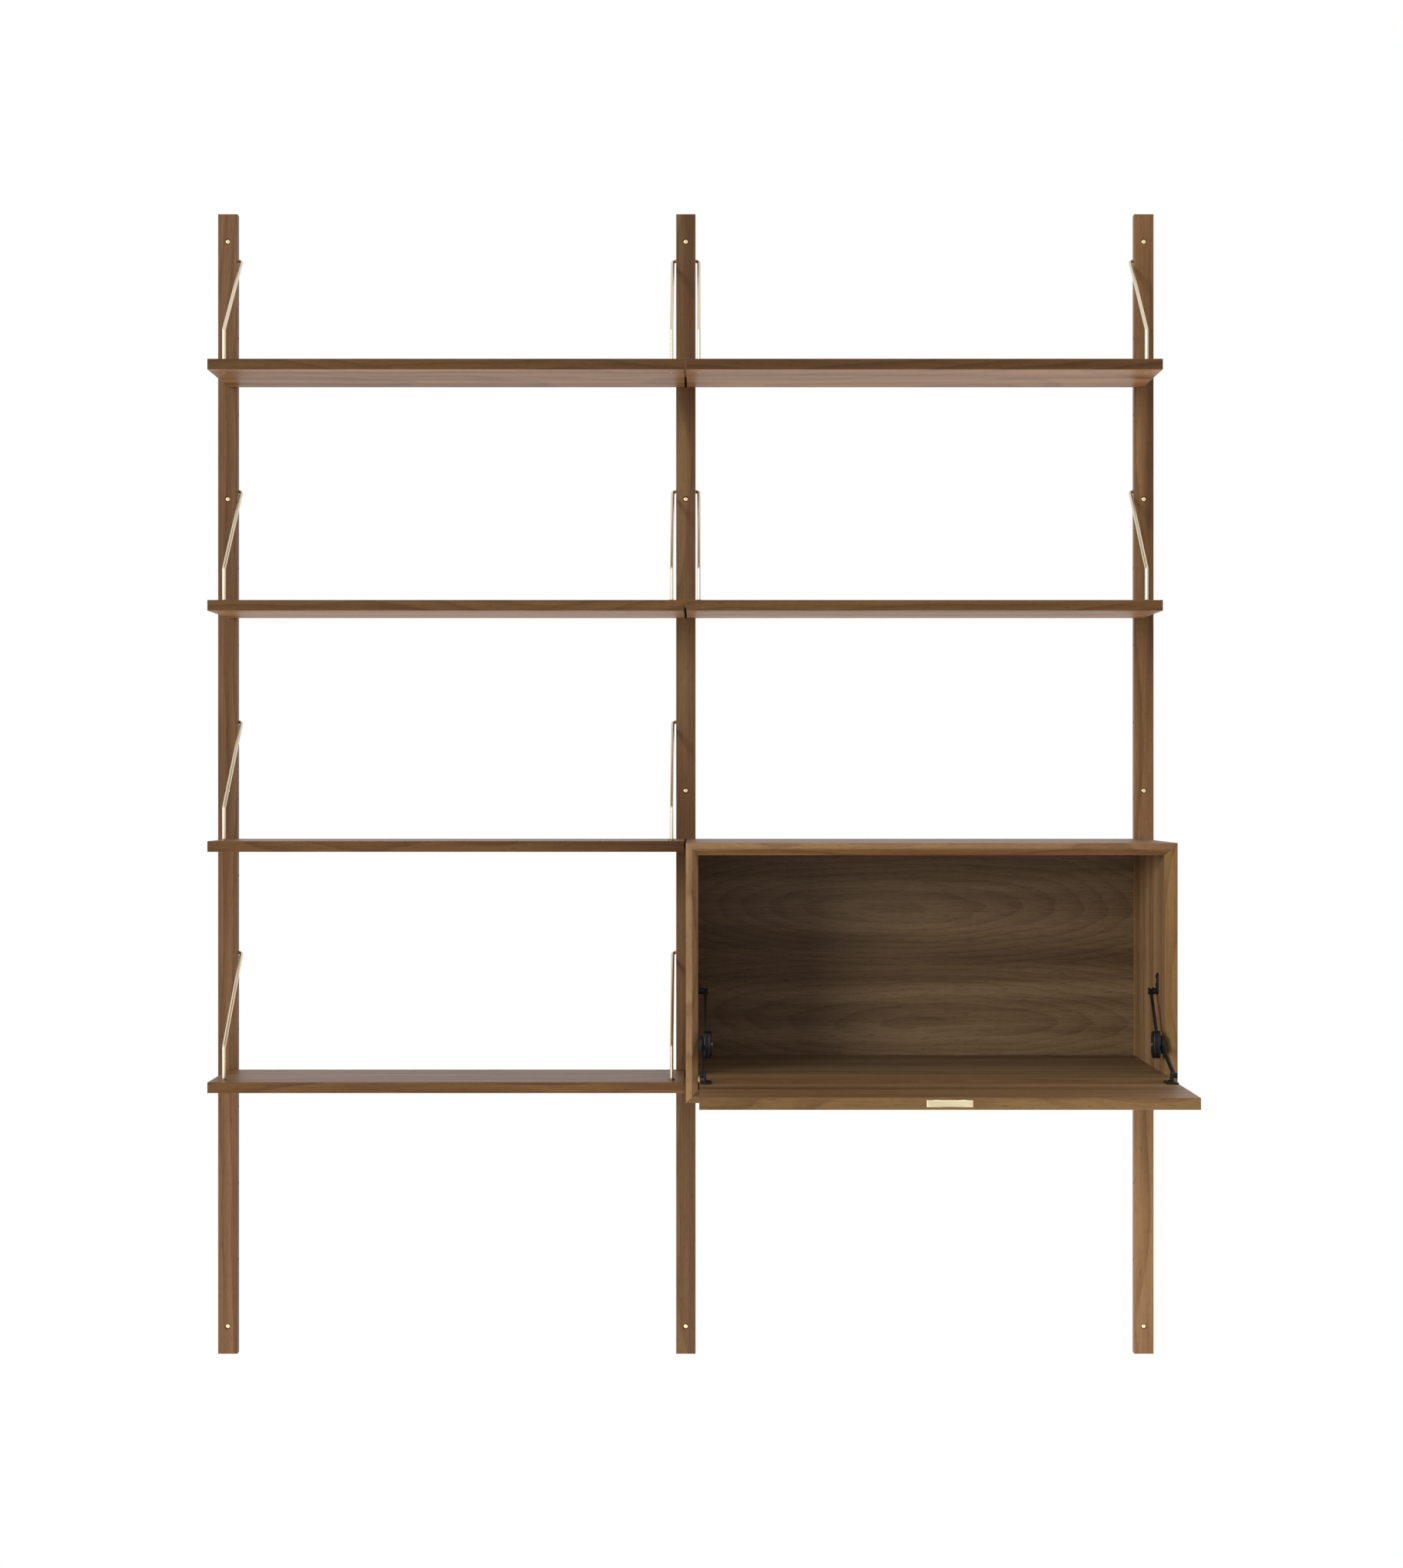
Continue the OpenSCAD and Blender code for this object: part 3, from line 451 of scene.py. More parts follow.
@dataclass(frozen=True)
class Walnut:
    """Oiled walnut with growth rings, streaks, fibres and pores, a darker lipping if asked, and painted light
    on the underside if asked: lighter and greyer there, standing for light from below and its reflection.
    """

    name: str
    slot: str
    grain: Grain = Grain.ACROSS
    tone: float = 1.0
    shift: tuple = (0.0, 0.0, 0.0)
    figure: Figure = Figure()
    contrast: float = 0.20
    cool: float = 1.0
    lip_y: float | None = None
    lip_tone: float = 0.5
    # Below this height the wood is painted lighter and greyer: painted light from below and its reflection on
    # the underside, not the wood's own colour.
    painted_light_under_z: float | None = None
    painted_light_under_tone: float = 1.55
    lip_hue: tuple = (1.0, 0.93, 0.70)
    painted_light_under_hue: tuple = (1.0, 0.95, 0.86)
    dark: tuple = (0.078, 0.036, 0.0125)
    middle: tuple = (0.170, 0.089, 0.037)
    light: tuple = (0.275, 0.158, 0.074)
    roughness: float = 0.44

    def shade(self, colour: tuple) -> tuple:
        """The board's own version of a colour, lighter or darker as a whole and greyer or warmer."""
        hue = (1.0, self.cool ** 0.5, self.cool)
        return tuple(min(c * self.tone * h, 1.0) for c, h in zip(colour, hue))

    def rings(self, sheet: NodeSheet, place: bpy.types.NodeSocket) -> bpy.types.NodeSocket:
        """Growth rings: 1 at the dark end of a year, falling at once to 0.

        Args:
            sheet: The material's sheet.
            place: Coordinates in the grain's frame.
        Returns:
            The ring strength.
        """
        figure = self.figure
        slow = sheet.noise(place, (1.3, 2.6, 2.6), 2.0).outputs["Color"]
        ripple = sheet.noise(place, (7.0, 45.0, 45.0), 3.0).outputs["Color"]
        drift = sheet.vector("MULTIPLY", sheet.vector("SUBTRACT", slow, (0.5, 0.5, 0.5)).outputs[0],
                             (0.0, figure.wander * 4, figure.wander * 4)).outputs[0]
        small = sheet.vector("MULTIPLY", sheet.vector("SUBTRACT", ripple, (0.5, 0.5, 0.5)).outputs[0],
                             (0.0, 0.007, 0.007)).outputs[0]
        off = sheet.vector("SUBTRACT", place, figure.heart).outputs[0]
        off = sheet.vector("ADD", sheet.vector("ADD", off, drift).outputs[0], small).outputs[0]
        axes = sheet.add("SeparateXYZ", {0: off}).outputs
        dip = sheet.math("MULTIPLY", sheet.math("MULTIPLY", axes[0], axes[0]), figure.bow)
        depth = sheet.math("ADD", axes[1], dip)
        height = axes[2]
        if figure.spread:
            height = sheet.math("SUBTRACT", sheet.math("ABSOLUTE", height), figure.spread / 2)
        flat = sheet.add("CombineXYZ", {0: 0.0, 1: depth, 2: height}).outputs[0]
        distance = sheet.vector("LENGTH", flat).outputs["Value"]
        year = sheet.math("FRACT", sheet.math("DIVIDE", distance, figure.ring))
        fade = sheet.math("MULTIPLY", sheet.math("SUBTRACT", 1.0, year), 9.0)
        return sheet.math("MINIMUM", sheet.math("POWER", year, 2.2), fade)

    def material(self) -> bpy.types.Material:
        """Builds the node tree: rings darken the wood, slow streaks and fine fibres vary it.

        Returns:
            The material.
        """
        sheet = NodeSheet(self.name)
        place = sheet.add("TexCoord").outputs["Object"]
        along = sheet.add("Mapping", {"Vector": place, "Location": self.shift,
                                      "Rotation": self.grain.value}).outputs[0]
        rings = self.rings(sheet, along)
        streak = sheet.noise(along, (0.9, 24.0, 24.0), 5.0).outputs[0]
        fibre = sheet.noise(along, (14.0, 520.0, 520.0), 3.0).outputs[0]
        pore_field = sheet.noise(along, (55.0, 1500.0, 1500.0), 1.0).outputs[0]
        pores = sheet.math("GREATER_THAN", pore_field, 0.64)
        tint = sheet.math("ADD", sheet.math("MULTIPLY", streak, 1.15), sheet.math("MULTIPLY", fibre, 0.30))
        tint = sheet.math("SUBTRACT", tint, sheet.math("MULTIPLY", rings, self.contrast))
        colour = sheet.ramp(tint, [(0.33, self.shade(self.dark)), (0.90, self.shade(self.light)),
                                   (0.62, self.shade(self.middle))])
        colour = sheet.mix(sheet.math("MULTIPLY", pores, 0.45), colour,
                           (*self.shade((0.040, 0.019, 0.008)), 1.0))
        axes = sheet.add("SeparateXYZ", {0: place}).outputs
        # The darker lipping on the front edge is the wood's own; the lighter, greyer underside is painted light
        # from below and its reflection.
        for axis, edge, factor, hue in ((1, self.lip_y, self.lip_tone, self.lip_hue),
                                        (2, self.painted_light_under_z, self.painted_light_under_tone, self.painted_light_under_hue)):
            if edge is not None:
                share = sheet.math("LESS_THAN", axes[axis], edge)
                toned = sheet.mix(1.0, colour, (*(factor * h for h in hue), 1.0), "MULTIPLY")
                colour = sheet.mix(share, colour, toned)
        sheet.feed("Base Color", colour)
        sheet.feed("Roughness", sheet.math("ADD", sheet.math("MULTIPLY", fibre, 0.16), self.roughness - 0.08))
        sheet.feed("Specular IOR Level", 0.16)
        sheet.bump(sheet.math("SUBTRACT", sheet.math("MULTIPLY", fibre, 0.6), pores), 0.25, 0.0002)
        return sheet.material


@dataclass(frozen=True)
class Metal:
    """Satin metal with fine drawn lines and slow changes of gloss."""

    name: str
    slot: str
    colour: tuple
    roughness: float = 0.28
    lines: tuple = (300.0, 300.0, 300.0)

    def material(self) -> bpy.types.Material:
        """Builds the node tree: the drawn lines vary gloss and tint a little.

        Returns:
            The material.
        """
        sheet = NodeSheet(self.name)
        place = sheet.add("TexCoord").outputs["Object"]
        fine = sheet.noise(place, self.lines, 3.0).outputs[0]
        slow = sheet.noise(place, (18.0, 18.0, 18.0), 2.0).outputs[0]
        worn = tuple(c * 0.86 for c in self.colour)
        colour = sheet.mix(sheet.math("MULTIPLY", slow, 0.7), (*self.colour, 1.0), (*worn, 1.0))
        sheet.feed("Base Color", colour)
        sheet.feed("Metallic", 1.0)
        gloss = sheet.math("ADD", sheet.math("MULTIPLY", fine, 0.14), self.roughness - 0.07)
        sheet.feed("Roughness", gloss)
        sheet.bump(fine, 0.08, 0.0001)
        return sheet.material


@dataclass(frozen=True)
class Coated:
    """Dark coat or moulding with a fine orange-peel grain."""

    name: str
    slot: str
    colour: tuple
    roughness: float = 0.38
    grain: float = 900.0

    def material(self) -> bpy.types.Material:
        """Builds the node tree: fine grain in the bump, slow wear in colour and gloss.

        Returns:
            The material.
        """
        sheet = NodeSheet(self.name)
        place = sheet.add("TexCoord").outputs["Object"]
        peel = sheet.noise(place, (self.grain,) * 3, 2.0).outputs[0]
        slow = sheet.noise(place, (35.0, 35.0, 35.0), 3.0).outputs[0]
        rubbed = tuple(c * 1.7 for c in self.colour)
        sheet.feed("Base Color", sheet.mix(slow, (*self.colour, 1.0), (*rubbed, 1.0)))
        sheet.feed("Roughness", sheet.math("ADD", sheet.math("MULTIPLY", slow, 0.18), self.roughness - 0.09))
        sheet.feed("Specular IOR Level", 0.25)
        sheet.bump(peel, 0.2, 0.00015)
        return sheet.material


BRASS_ROD = Metal("pale_brass_rod", "brass_rod", (0.74, 0.64, 0.47), 0.32, (60.0, 60.0, 60.0))
BRASS_PULL = Metal("pale_brass_pull", "brass_pull", (0.66, 0.57, 0.38), 0.34, (12.0, 900.0, 900.0))
BRASS_SCREW = Metal("brass_screw", "brass_screw", (0.82, 0.66, 0.38), 0.26)
BRIGHT_STEEL = Metal("bright_steel", "bright_steel", (0.62, 0.62, 0.60), 0.24)
# Dark finish of the rod collars: their darkness is painted shade, standing for the contact shadow and dark
# reflection at each rod's base.
DARK_BRONZE_PAINTED_SHADE = Metal("dark_bronze", "dark_bronze", (0.17, 0.12, 0.075), 0.42)
BLACK_STEEL = Coated("black_steel", "black_steel", (0.0035, 0.0035, 0.004), 0.44)
BLACK_HOUSING = Coated("black_housing", "black_housing", (0.0025, 0.0027, 0.003), 0.40, 1400.0)


def dress(node: str, finish: Walnut | Metal | Coated, frame: dict) -> None:
    """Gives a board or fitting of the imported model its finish.

    Args:
        node: Name of the node.
        finish: The finish to put in its material slots.
        frame: The loaded frame.
    """
    piece = frame["nodes"][node]
    piece.data.materials.clear()
    piece.data.materials.append(finish.material())
    log.info("dressed %s in %s", node, finish.name)


def add_piece(name: str, shells: list, finish: Metal | Coated, body: str, nodes: tuple,
              sharp: float = 32.0) -> bpy.types.Object:
    """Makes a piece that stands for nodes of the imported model.

    Args:
        name: Name of the piece.
        shells: Vertices and faces of each closed shell.
        finish: Its finish.
        body: The body that it moves with.
        nodes: The nodes that it stands for.
        sharp: Angle in degrees past which an edge is shown sharp.
    Returns:
        The new object.
    """
    piece = make_mesh(name, shells, sharp)
    piece.data.materials.append(finish.material())
    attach(piece, body)
    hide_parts(*nodes)
    log.info("made %s with %d faces", name, len(piece.data.polygons))
    return piece


# --- Screws -------------------------------------------------------------------


@dataclass(frozen=True)
class Screw:
    """A screw with a domed head, a six-sided recess and a threaded shank, pointing along -Z."""

    head_radius: float
    head_height: float
    shank_radius: float
    shank_length: float
    thread_start: float = 0.0
    recess: float = 0.45
    around: int = 30

    def head(self) -> np.ndarray:
        """Head: rim, dome and recess. The recess radius at angle a is that of a hexagon.

        Returns:
            Rings from the head's underside to the recess floor.
        """
        a = circle_angles(self.around)
        flat = self.head_radius * self.recess
        six = flat * math.cos(math.pi / 6) / np.cos((a % (TURN / 6)) - math.pi / 6)
        swell = np.linspace(0, 1, 7)
        radii = self.head_radius * (1 - (1 - self.recess * 1.12) * swell)
        heights = self.head_height * (0.45 + 0.55 * np.sin(swell * math.pi / 2))
        dome = turned(np.stack([radii, heights], axis=1), self.around)
        rim = turned(np.array([[self.head_radius * 0.97, 0.0], [self.head_radius, self.head_height * 0.08]]),
                     self.around)
        mouth = np.stack([six * np.cos(a), six * np.sin(a), np.full_like(a, self.head_height)], axis=1)
        floor = mouth * np.array([0.96, 0.96, 1.0]) - np.array([0.0, 0.0, self.head_height * 0.6])
        return np.concatenate([rim, dome, mouth[None], floor[None]])

    def shank(self) -> np.ndarray:
        """Shank: a plain stretch, then a thread whose radius falls and rises once a pitch.

        The radius is the full one less a triangle wave of the height and the angle together,
        so the crest climbs one pitch each turn.

        Returns:
            Rings from the tip to the head.
        """
        a = circle_angles(self.around)
        pitch = self.shank_radius * 0.8
        count = max(int(self.shank_length / pitch) * 5, 12)
        height = np.linspace(-self.shank_length, 0, count)[:, None]
        phase = (height / pitch - a / TURN) % 1.0
        groove = 0.22 * self.shank_radius * np.abs(2 * phase - 1)
        threaded = np.clip((-self.thread_start - height) / pitch, 0, 1)
        tip = np.clip((height + self.shank_length) / (3 * self.shank_radius), 0.12, 1)
        radius = (self.shank_radius - groove * threaded) * tip ** 0.6
        return np.stack([radius * np.cos(a), radius * np.sin(a),
                         np.broadcast_to(height, radius.shape)], axis=-1)

    def shells(self, place: Place) -> list:
        """The screw in one place.

        Args:
            place: Its frame: Z points out of the head.
        Returns:
            The closed shells.
        """
        return [loft(place.put(self.shank())), loft(place.put(self.head()))]


# --- Sub-assemblies -----------------------------------------------------------


def solids_of(frame: dict, node: str) -> list:
    """Boxes of the separate solids in one node, found by the gaps between their vertices.

    Args:
        frame: The loaded frame.
        node: Name of the node.
    Returns:
        Lowest and highest corner of each solid.
    """
    mesh = bmesh.new()
    mesh.from_mesh(frame["nodes"][node].data)
    bmesh.ops.remove_doubles(mesh, verts=mesh.verts, dist=1e-6)
    left, boxes = set(mesh.verts), []
    while left:
        group, edge = set(), [left.pop()]
        while edge:
            vertex = edge.pop()
            group.add(vertex)
            fresh = [e.other_vert(vertex) for e in vertex.link_edges]
            fresh = [v for v in fresh if v in left]
            left.difference_update(fresh)
            edge.extend(fresh)
        points = np.array([v.co[:] for v in group])
        boxes.append((points.min(0), points.max(0)))
    mesh.free()
    return sorted(boxes, key=lambda box: tuple(box[0].round(4)))


@dataclass
class WallRails:
    """The three upright rails and their wall screws."""

    frame: dict
    head_height: float = 2.4 * MM
    tones: dict = field(default_factory=lambda: {"left": 0.86, "middle": 0.76, "right": 1.10})

    def build(self) -> None:
        """Dresses the rails and makes the screws."""
        for index, (side, tone) in enumerate(self.tones.items()):
            dress(f"rail_{side}", Walnut(f"walnut_rail_{side}", "walnut_rail", Grain.UPRIGHT, tone,
                                         shift=(0.37 * index, 0.6 * index, 0.21 * index),
                                         figure=Figure((0.0, 0.9 * index + 0.10, 0.08), wander=0.02),
                                         cool=0.90),
                  self.frame)
            self.screws(side)

    def screws(self, side: str) -> None:
        """Makes one rail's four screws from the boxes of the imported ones.

        Args:
            side: Which rail.
        """
        shells = []
        for low, high in solids_of(self.frame, f"wall_screws_{side}"):
            centre = (low + high) / 2
            under_head = low[1] + self.head_height
            screw = Screw((high[0] - low[0]) / 2, self.head_height, 2.5 * MM, high[1] - under_head,
                          thread_start=22 * MM)
            place = Place((centre[0], under_head, centre[2]), (1, 0, 0), (0, 0, 1), (0, -1, 0))
            shells += screw.shells(place)
        add_piece(f"turned_wall_screws_{side}", shells, BRASS_SCREW, "root", (f"wall_screws_{side}",))


@dataclass
class Shelves:
    """The six shelves, their rod hangers, ferrules and end screws."""

    frame: dict
    rod_radius: float = 3 * MM
    bend_radius: float = 6 * MM
    seat_and_turn: float = 67 * MM
    names: tuple = ("left_1", "left_2", "left_3", "left_4", "right_1", "right_2")
    lip_tones: tuple = (0.42, 0.50, 0.50, 0.68)

    def build(self) -> None:
        """Dresses the shelves and makes what hangs them."""
        for index, name in enumerate(self.names):
            node = f"shelf_{name}"
            low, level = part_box(node)[0], int(name[-1])
            # Each shelf's underside gets painted light from below and its reflection; its front lipping is
            # darker wood.
            dress(node, Walnut(f"walnut_{node}", "walnut_shelf", Grain.ACROSS, 1.02 + 0.04 * (index % 3),
                               shift=(0.83 * index, 0.31 * index, 0.17 * index),
                               figure=Figure((0.0, 0.29 * index, 0.17 * index - 0.05)), cool=0.82,
                               lip_y=low[1] + FACE_MARGIN, lip_tone=self.lip_tones[level - 1],
                               painted_light_under_z=low[2] + PAINTED_LIGHT_UNDER_MARGIN), self.frame)
        for node in sorted(self.frame["nodes"]):
            if node.startswith("hanger_"):
                self.hanger(node)
        self.ferrules()
        self.end_screws()

    def hanger(self, node: str) -> None:
        """Makes one bent rod: hook across, slope forward and down, then upright into the shelf.

        Args:
            node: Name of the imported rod.
        """
        low, high = (np.array(corner[:]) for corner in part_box(node))
        rails = [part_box(f"rail_{side}") for side in ("left", "middle", "right")]
        rail_x = min(((a[0] + b[0]) / 2 for a, b in rails), key=lambda x: abs(x - (low[0] + high[0]) / 2))
        toward = 1.0 if (low[0] + high[0]) / 2 > rail_x else -1.0
        r = self.rod_radius
        rod_x = high[0] - r if toward > 0 else low[0] + r
        grip_x = low[0] if toward > 0 else high[0]
        hook = np.array([rod_x, high[1] - r, high[2] - r])
        knee = np.array([rod_x, low[1] + r, low[2] + self.seat_and_turn])
        across = np.array([toward, 0.0, 0.0])
        slope = (knee - hook) / np.linalg.norm(knee - hook)
        down = np.array([0.0, 0.0, -1.0])
        ends = np.array([[grip_x, hook[1], hook[2]], [rod_x, knee[1], low[2]]])
        path = np.concatenate([
            ends[:1], ends[:1] + across * 0.8 * MM,
            bend(hook, across, slope, self.bend_radius),
            bend(knee, slope, down, self.bend_radius),
            ends[1:] - down * 0.8 * MM, ends[1:],
        ])
        radius = np.full(len(path), r)
        radius[[0, -1]] = r * 0.8
        add_piece("rod_" + node, [loft(swept(path, radius))], BRASS_ROD, "root", (node,))

    def ferrules(self) -> None:
        """Makes the collars where the rods enter the shelves: a ring with a rounded shoulder, in a dark finish
        that paints the shade at each rod's base.
        """
        shells = []
        for low, high in solids_of(self.frame, "rod_ferrules"):
            centre = (low + high) / 2
            outer, tall = (high[0] - low[0]) / 2, high[2] - low[2]
            inner = self.rod_radius + 0.05 * MM
            a = np.linspace(0, math.pi / 2, 6)
            shoulder = np.stack([outer - tall * 0.5 * (1 - np.cos(a)),
                                 tall * 0.5 + tall * 0.5 * np.sin(a)], axis=1)
            profile = np.concatenate([[[inner, 0.0], [outer, 0.0]], shoulder, [[inner, tall]]])
            ring = turned(np.concatenate([profile, profile[:1]]))
            points, faces = loft(Place((centre[0], centre[1], low[2])).put(ring))
            shells.append((points, faces[:-2]))
        add_piece("turned_ferrules", shells, DARK_BRONZE_PAINTED_SHADE, "root", ("rod_ferrules",))

    def end_screws(self) -> None:
        """Makes the screws that hold the rods from below the shelves."""
        head_height = 1.9 * MM
        shells = []
        for low, high in solids_of(self.frame, "rod_end_screws"):
            centre = (low + high) / 2
            screw = Screw((high[0] - low[0]) / 2, head_height, 1.5 * MM, high[2] - low[2] - head_height,
                          thread_start=2 * MM, around=18)
            place = Place((centre[0], centre[1], low[2] + head_height), (1, 0, 0), (0, -1, 0), (0, 0, -1))
            shells += screw.shells(place)
        add_piece("turned_end_screws", shells, BRASS_SCREW, "root", ("rod_end_screws",))


@dataclass
class Cabinet:
    """The mitred box, its back and floor, and the fittings behind it."""

    frame: dict
    slope: float = 10 * MM

    def build(self) -> None:
        """Dresses the panels, each with its own piece of veneer."""
        low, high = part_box("cabinet_back")
        middle = (low + high) / 2
        slot = "walnut_cabinet"
        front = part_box("cabinet_side_left")[0][1] + FACE_MARGIN
        finishes = {
            "cabinet_top": Walnut("walnut_cabinet_top", slot, Grain.ACROSS, 1.0, (1.9, 0.4, 0.2),
                                  Figure((0.0, 0.45, 0.12)), cool=0.92),
            "cabinet_bottom": Walnut("walnut_cabinet_bottom", slot, Grain.ACROSS, 0.95, (3.1, 0.7, 0.1),
                                     Figure((0.0, 0.6, 0.05))),
            "cabinet_side_left": Walnut("walnut_cabinet_left", slot, Grain.UPRIGHT, 1.25, (0.8, 0.3, 0.4),
                                        Figure((0.0, 0.5, 0.3)), cool=1.12, lip_y=front, lip_tone=0.93,
                                        lip_hue=(1.0, 0.98, 0.90)),
            "cabinet_side_right": Walnut("walnut_cabinet_right", slot, Grain.UPRIGHT, 1.45, (1.4, 0.9, 0.6),
                                         Figure((0.0, 1.1, 0.2)), cool=1.12,
                                         lip_y=front + self.slope, lip_tone=0.66),
            "cabinet_back": Walnut("walnut_cabinet_back", slot, Grain.ACROSS, 0.68,
                                   figure=Figure((low[0] + 0.39, middle[1] - 0.04, middle[2]), 0.010, 0.022,
                                                 0.30, 0.204), contrast=0.15, cool=1.26),
            "cabinet_floor": Walnut("walnut_cabinet_floor", slot, Grain.ACROSS, 0.94, (2.3, 0.2, 0.8),
                                    Figure((0.0, 0.3, 0.9)), cool=1.38),
        }
        for node, finish in finishes.items():
            dress(node, finish, self.frame)
        dress("cabinet_dowels", Walnut("beech_dowels", "beech", dark=(0.34, 0.21, 0.11),
                                       middle=(0.46, 0.30, 0.17), light=(0.58, 0.40, 0.24)), self.frame)
        for node in ("cabinet_hook_left", "cabinet_hook_right", "shared_shelf_keys", "single_shelf_keys"):
            dress(node, BLACK_STEEL, self.frame)
        dress("cabinet_hook_screws", BRASS_SCREW, self.frame)
        for node in ("catch_magnet", "hinge_pins"):
            dress(node, BRIGHT_STEEL, self.frame)


@dataclass
class Door:
    """The drop front with its pull plate, bushes and strike."""

    frame: dict
    dish: float = 1.8 * MM
    edge: float = 0.7 * MM

    def build(self) -> None:
        """Dresses the door and makes the pull plate."""
        dress("door_panel", Walnut("walnut_door", "walnut_door", Grain.ACROSS, 1.15, (0.5, 0.12, 0.3),
                                   Figure((0.0, -0.35, -0.14)), cool=1.08,
                                   lip_y=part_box("door_panel")[0][1] + FACE_MARGIN, lip_tone=0.58), self.frame)
        dress("catch_strike", BRIGHT_STEEL, self.frame)
        dress("hinge_bushes", BRASS_SCREW, self.frame)
        self.pull()

    def pull(self) -> None:
        """Makes the pull plate: a rounded slab whose face is hollowed.

        The hollow's depth is that of the dish times (1 - u squared) squared, where u runs from -1
        to 1 along the hollow, and it fades to nothing towards the long edges.
        """
        low, high = (np.array(corner[:]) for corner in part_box("door_pull"))
        half_w, half_h = (high[0] - low[0]) / 2, (high[2] - low[2]) / 2
        thick = 4 * MM
        u = np.linspace(-1, 1, 81)
        v = np.linspace(-1, 1, 25)
        grid_x, grid_z = np.meshgrid(u * half_w, v * half_h, indexing="ij")
        inside_u = np.clip(1 - (u / 0.86) ** 2, 0, 1)[:, None]
        inside_v = np.clip((1 - np.abs(v)) / 0.22, 0, 1)[None, :] ** 0.5
        depth = self.dish * inside_u ** 1.2 * inside_v
        rim_u = np.clip((1 - np.abs(u)) * half_w / self.edge, 0, 1)[:, None]
        rim_v = np.clip((1 - np.abs(v)) * half_h / self.edge, 0, 1)[None, :]
        rim = self.edge * (1 - np.sqrt(1 - (1 - np.minimum(rim_u, rim_v)) ** 2 * 0.999))
        face = np.stack([grid_x, depth + rim * 0.6, grid_z], axis=-1)
        back = np.stack([grid_x, np.full_like(grid_x, thick), grid_z], axis=-1)
        place = Place(((low[0] + high[0]) / 2, low[1], (low[2] + high[2]) / 2))
        add_piece("dished_pull", [self.slab(place.put(face), place.put(back))], BRASS_PULL, "door",
                  ("door_pull",), 40.0)

    def slab(self, face: np.ndarray, back: np.ndarray) -> tuple[np.ndarray, list]:
        """Closed shell between two grids of the same size.

        Args:
            face: Grid of the front, shape (m, n, 3).
            back: Grid of the back.
        Returns:
            Vertices and faces.
        """
        m, n = face.shape[:2]
        index = np.arange(m * n).reshape(m, n)
        quads = np.stack([index[:-1, :-1], index[1:, :-1], index[1:, 1:], index[:-1, 1:]], axis=-1)
        front = quads.reshape(-1, 4)
        behind = front[:, ::-1] + m * n
        loop = np.concatenate([index[:-1, 0], index[-1, :-1], index[:0:-1, -1], index[0, :0:-1]])
        after = np.roll(loop, -1)
        sides = np.stack([after, loop, loop + m * n, after + m * n], axis=1)
        faces = np.concatenate([front, behind, sides]).tolist()
        return np.concatenate([face.reshape(-1, 3), back.reshape(-1, 3)]), faces


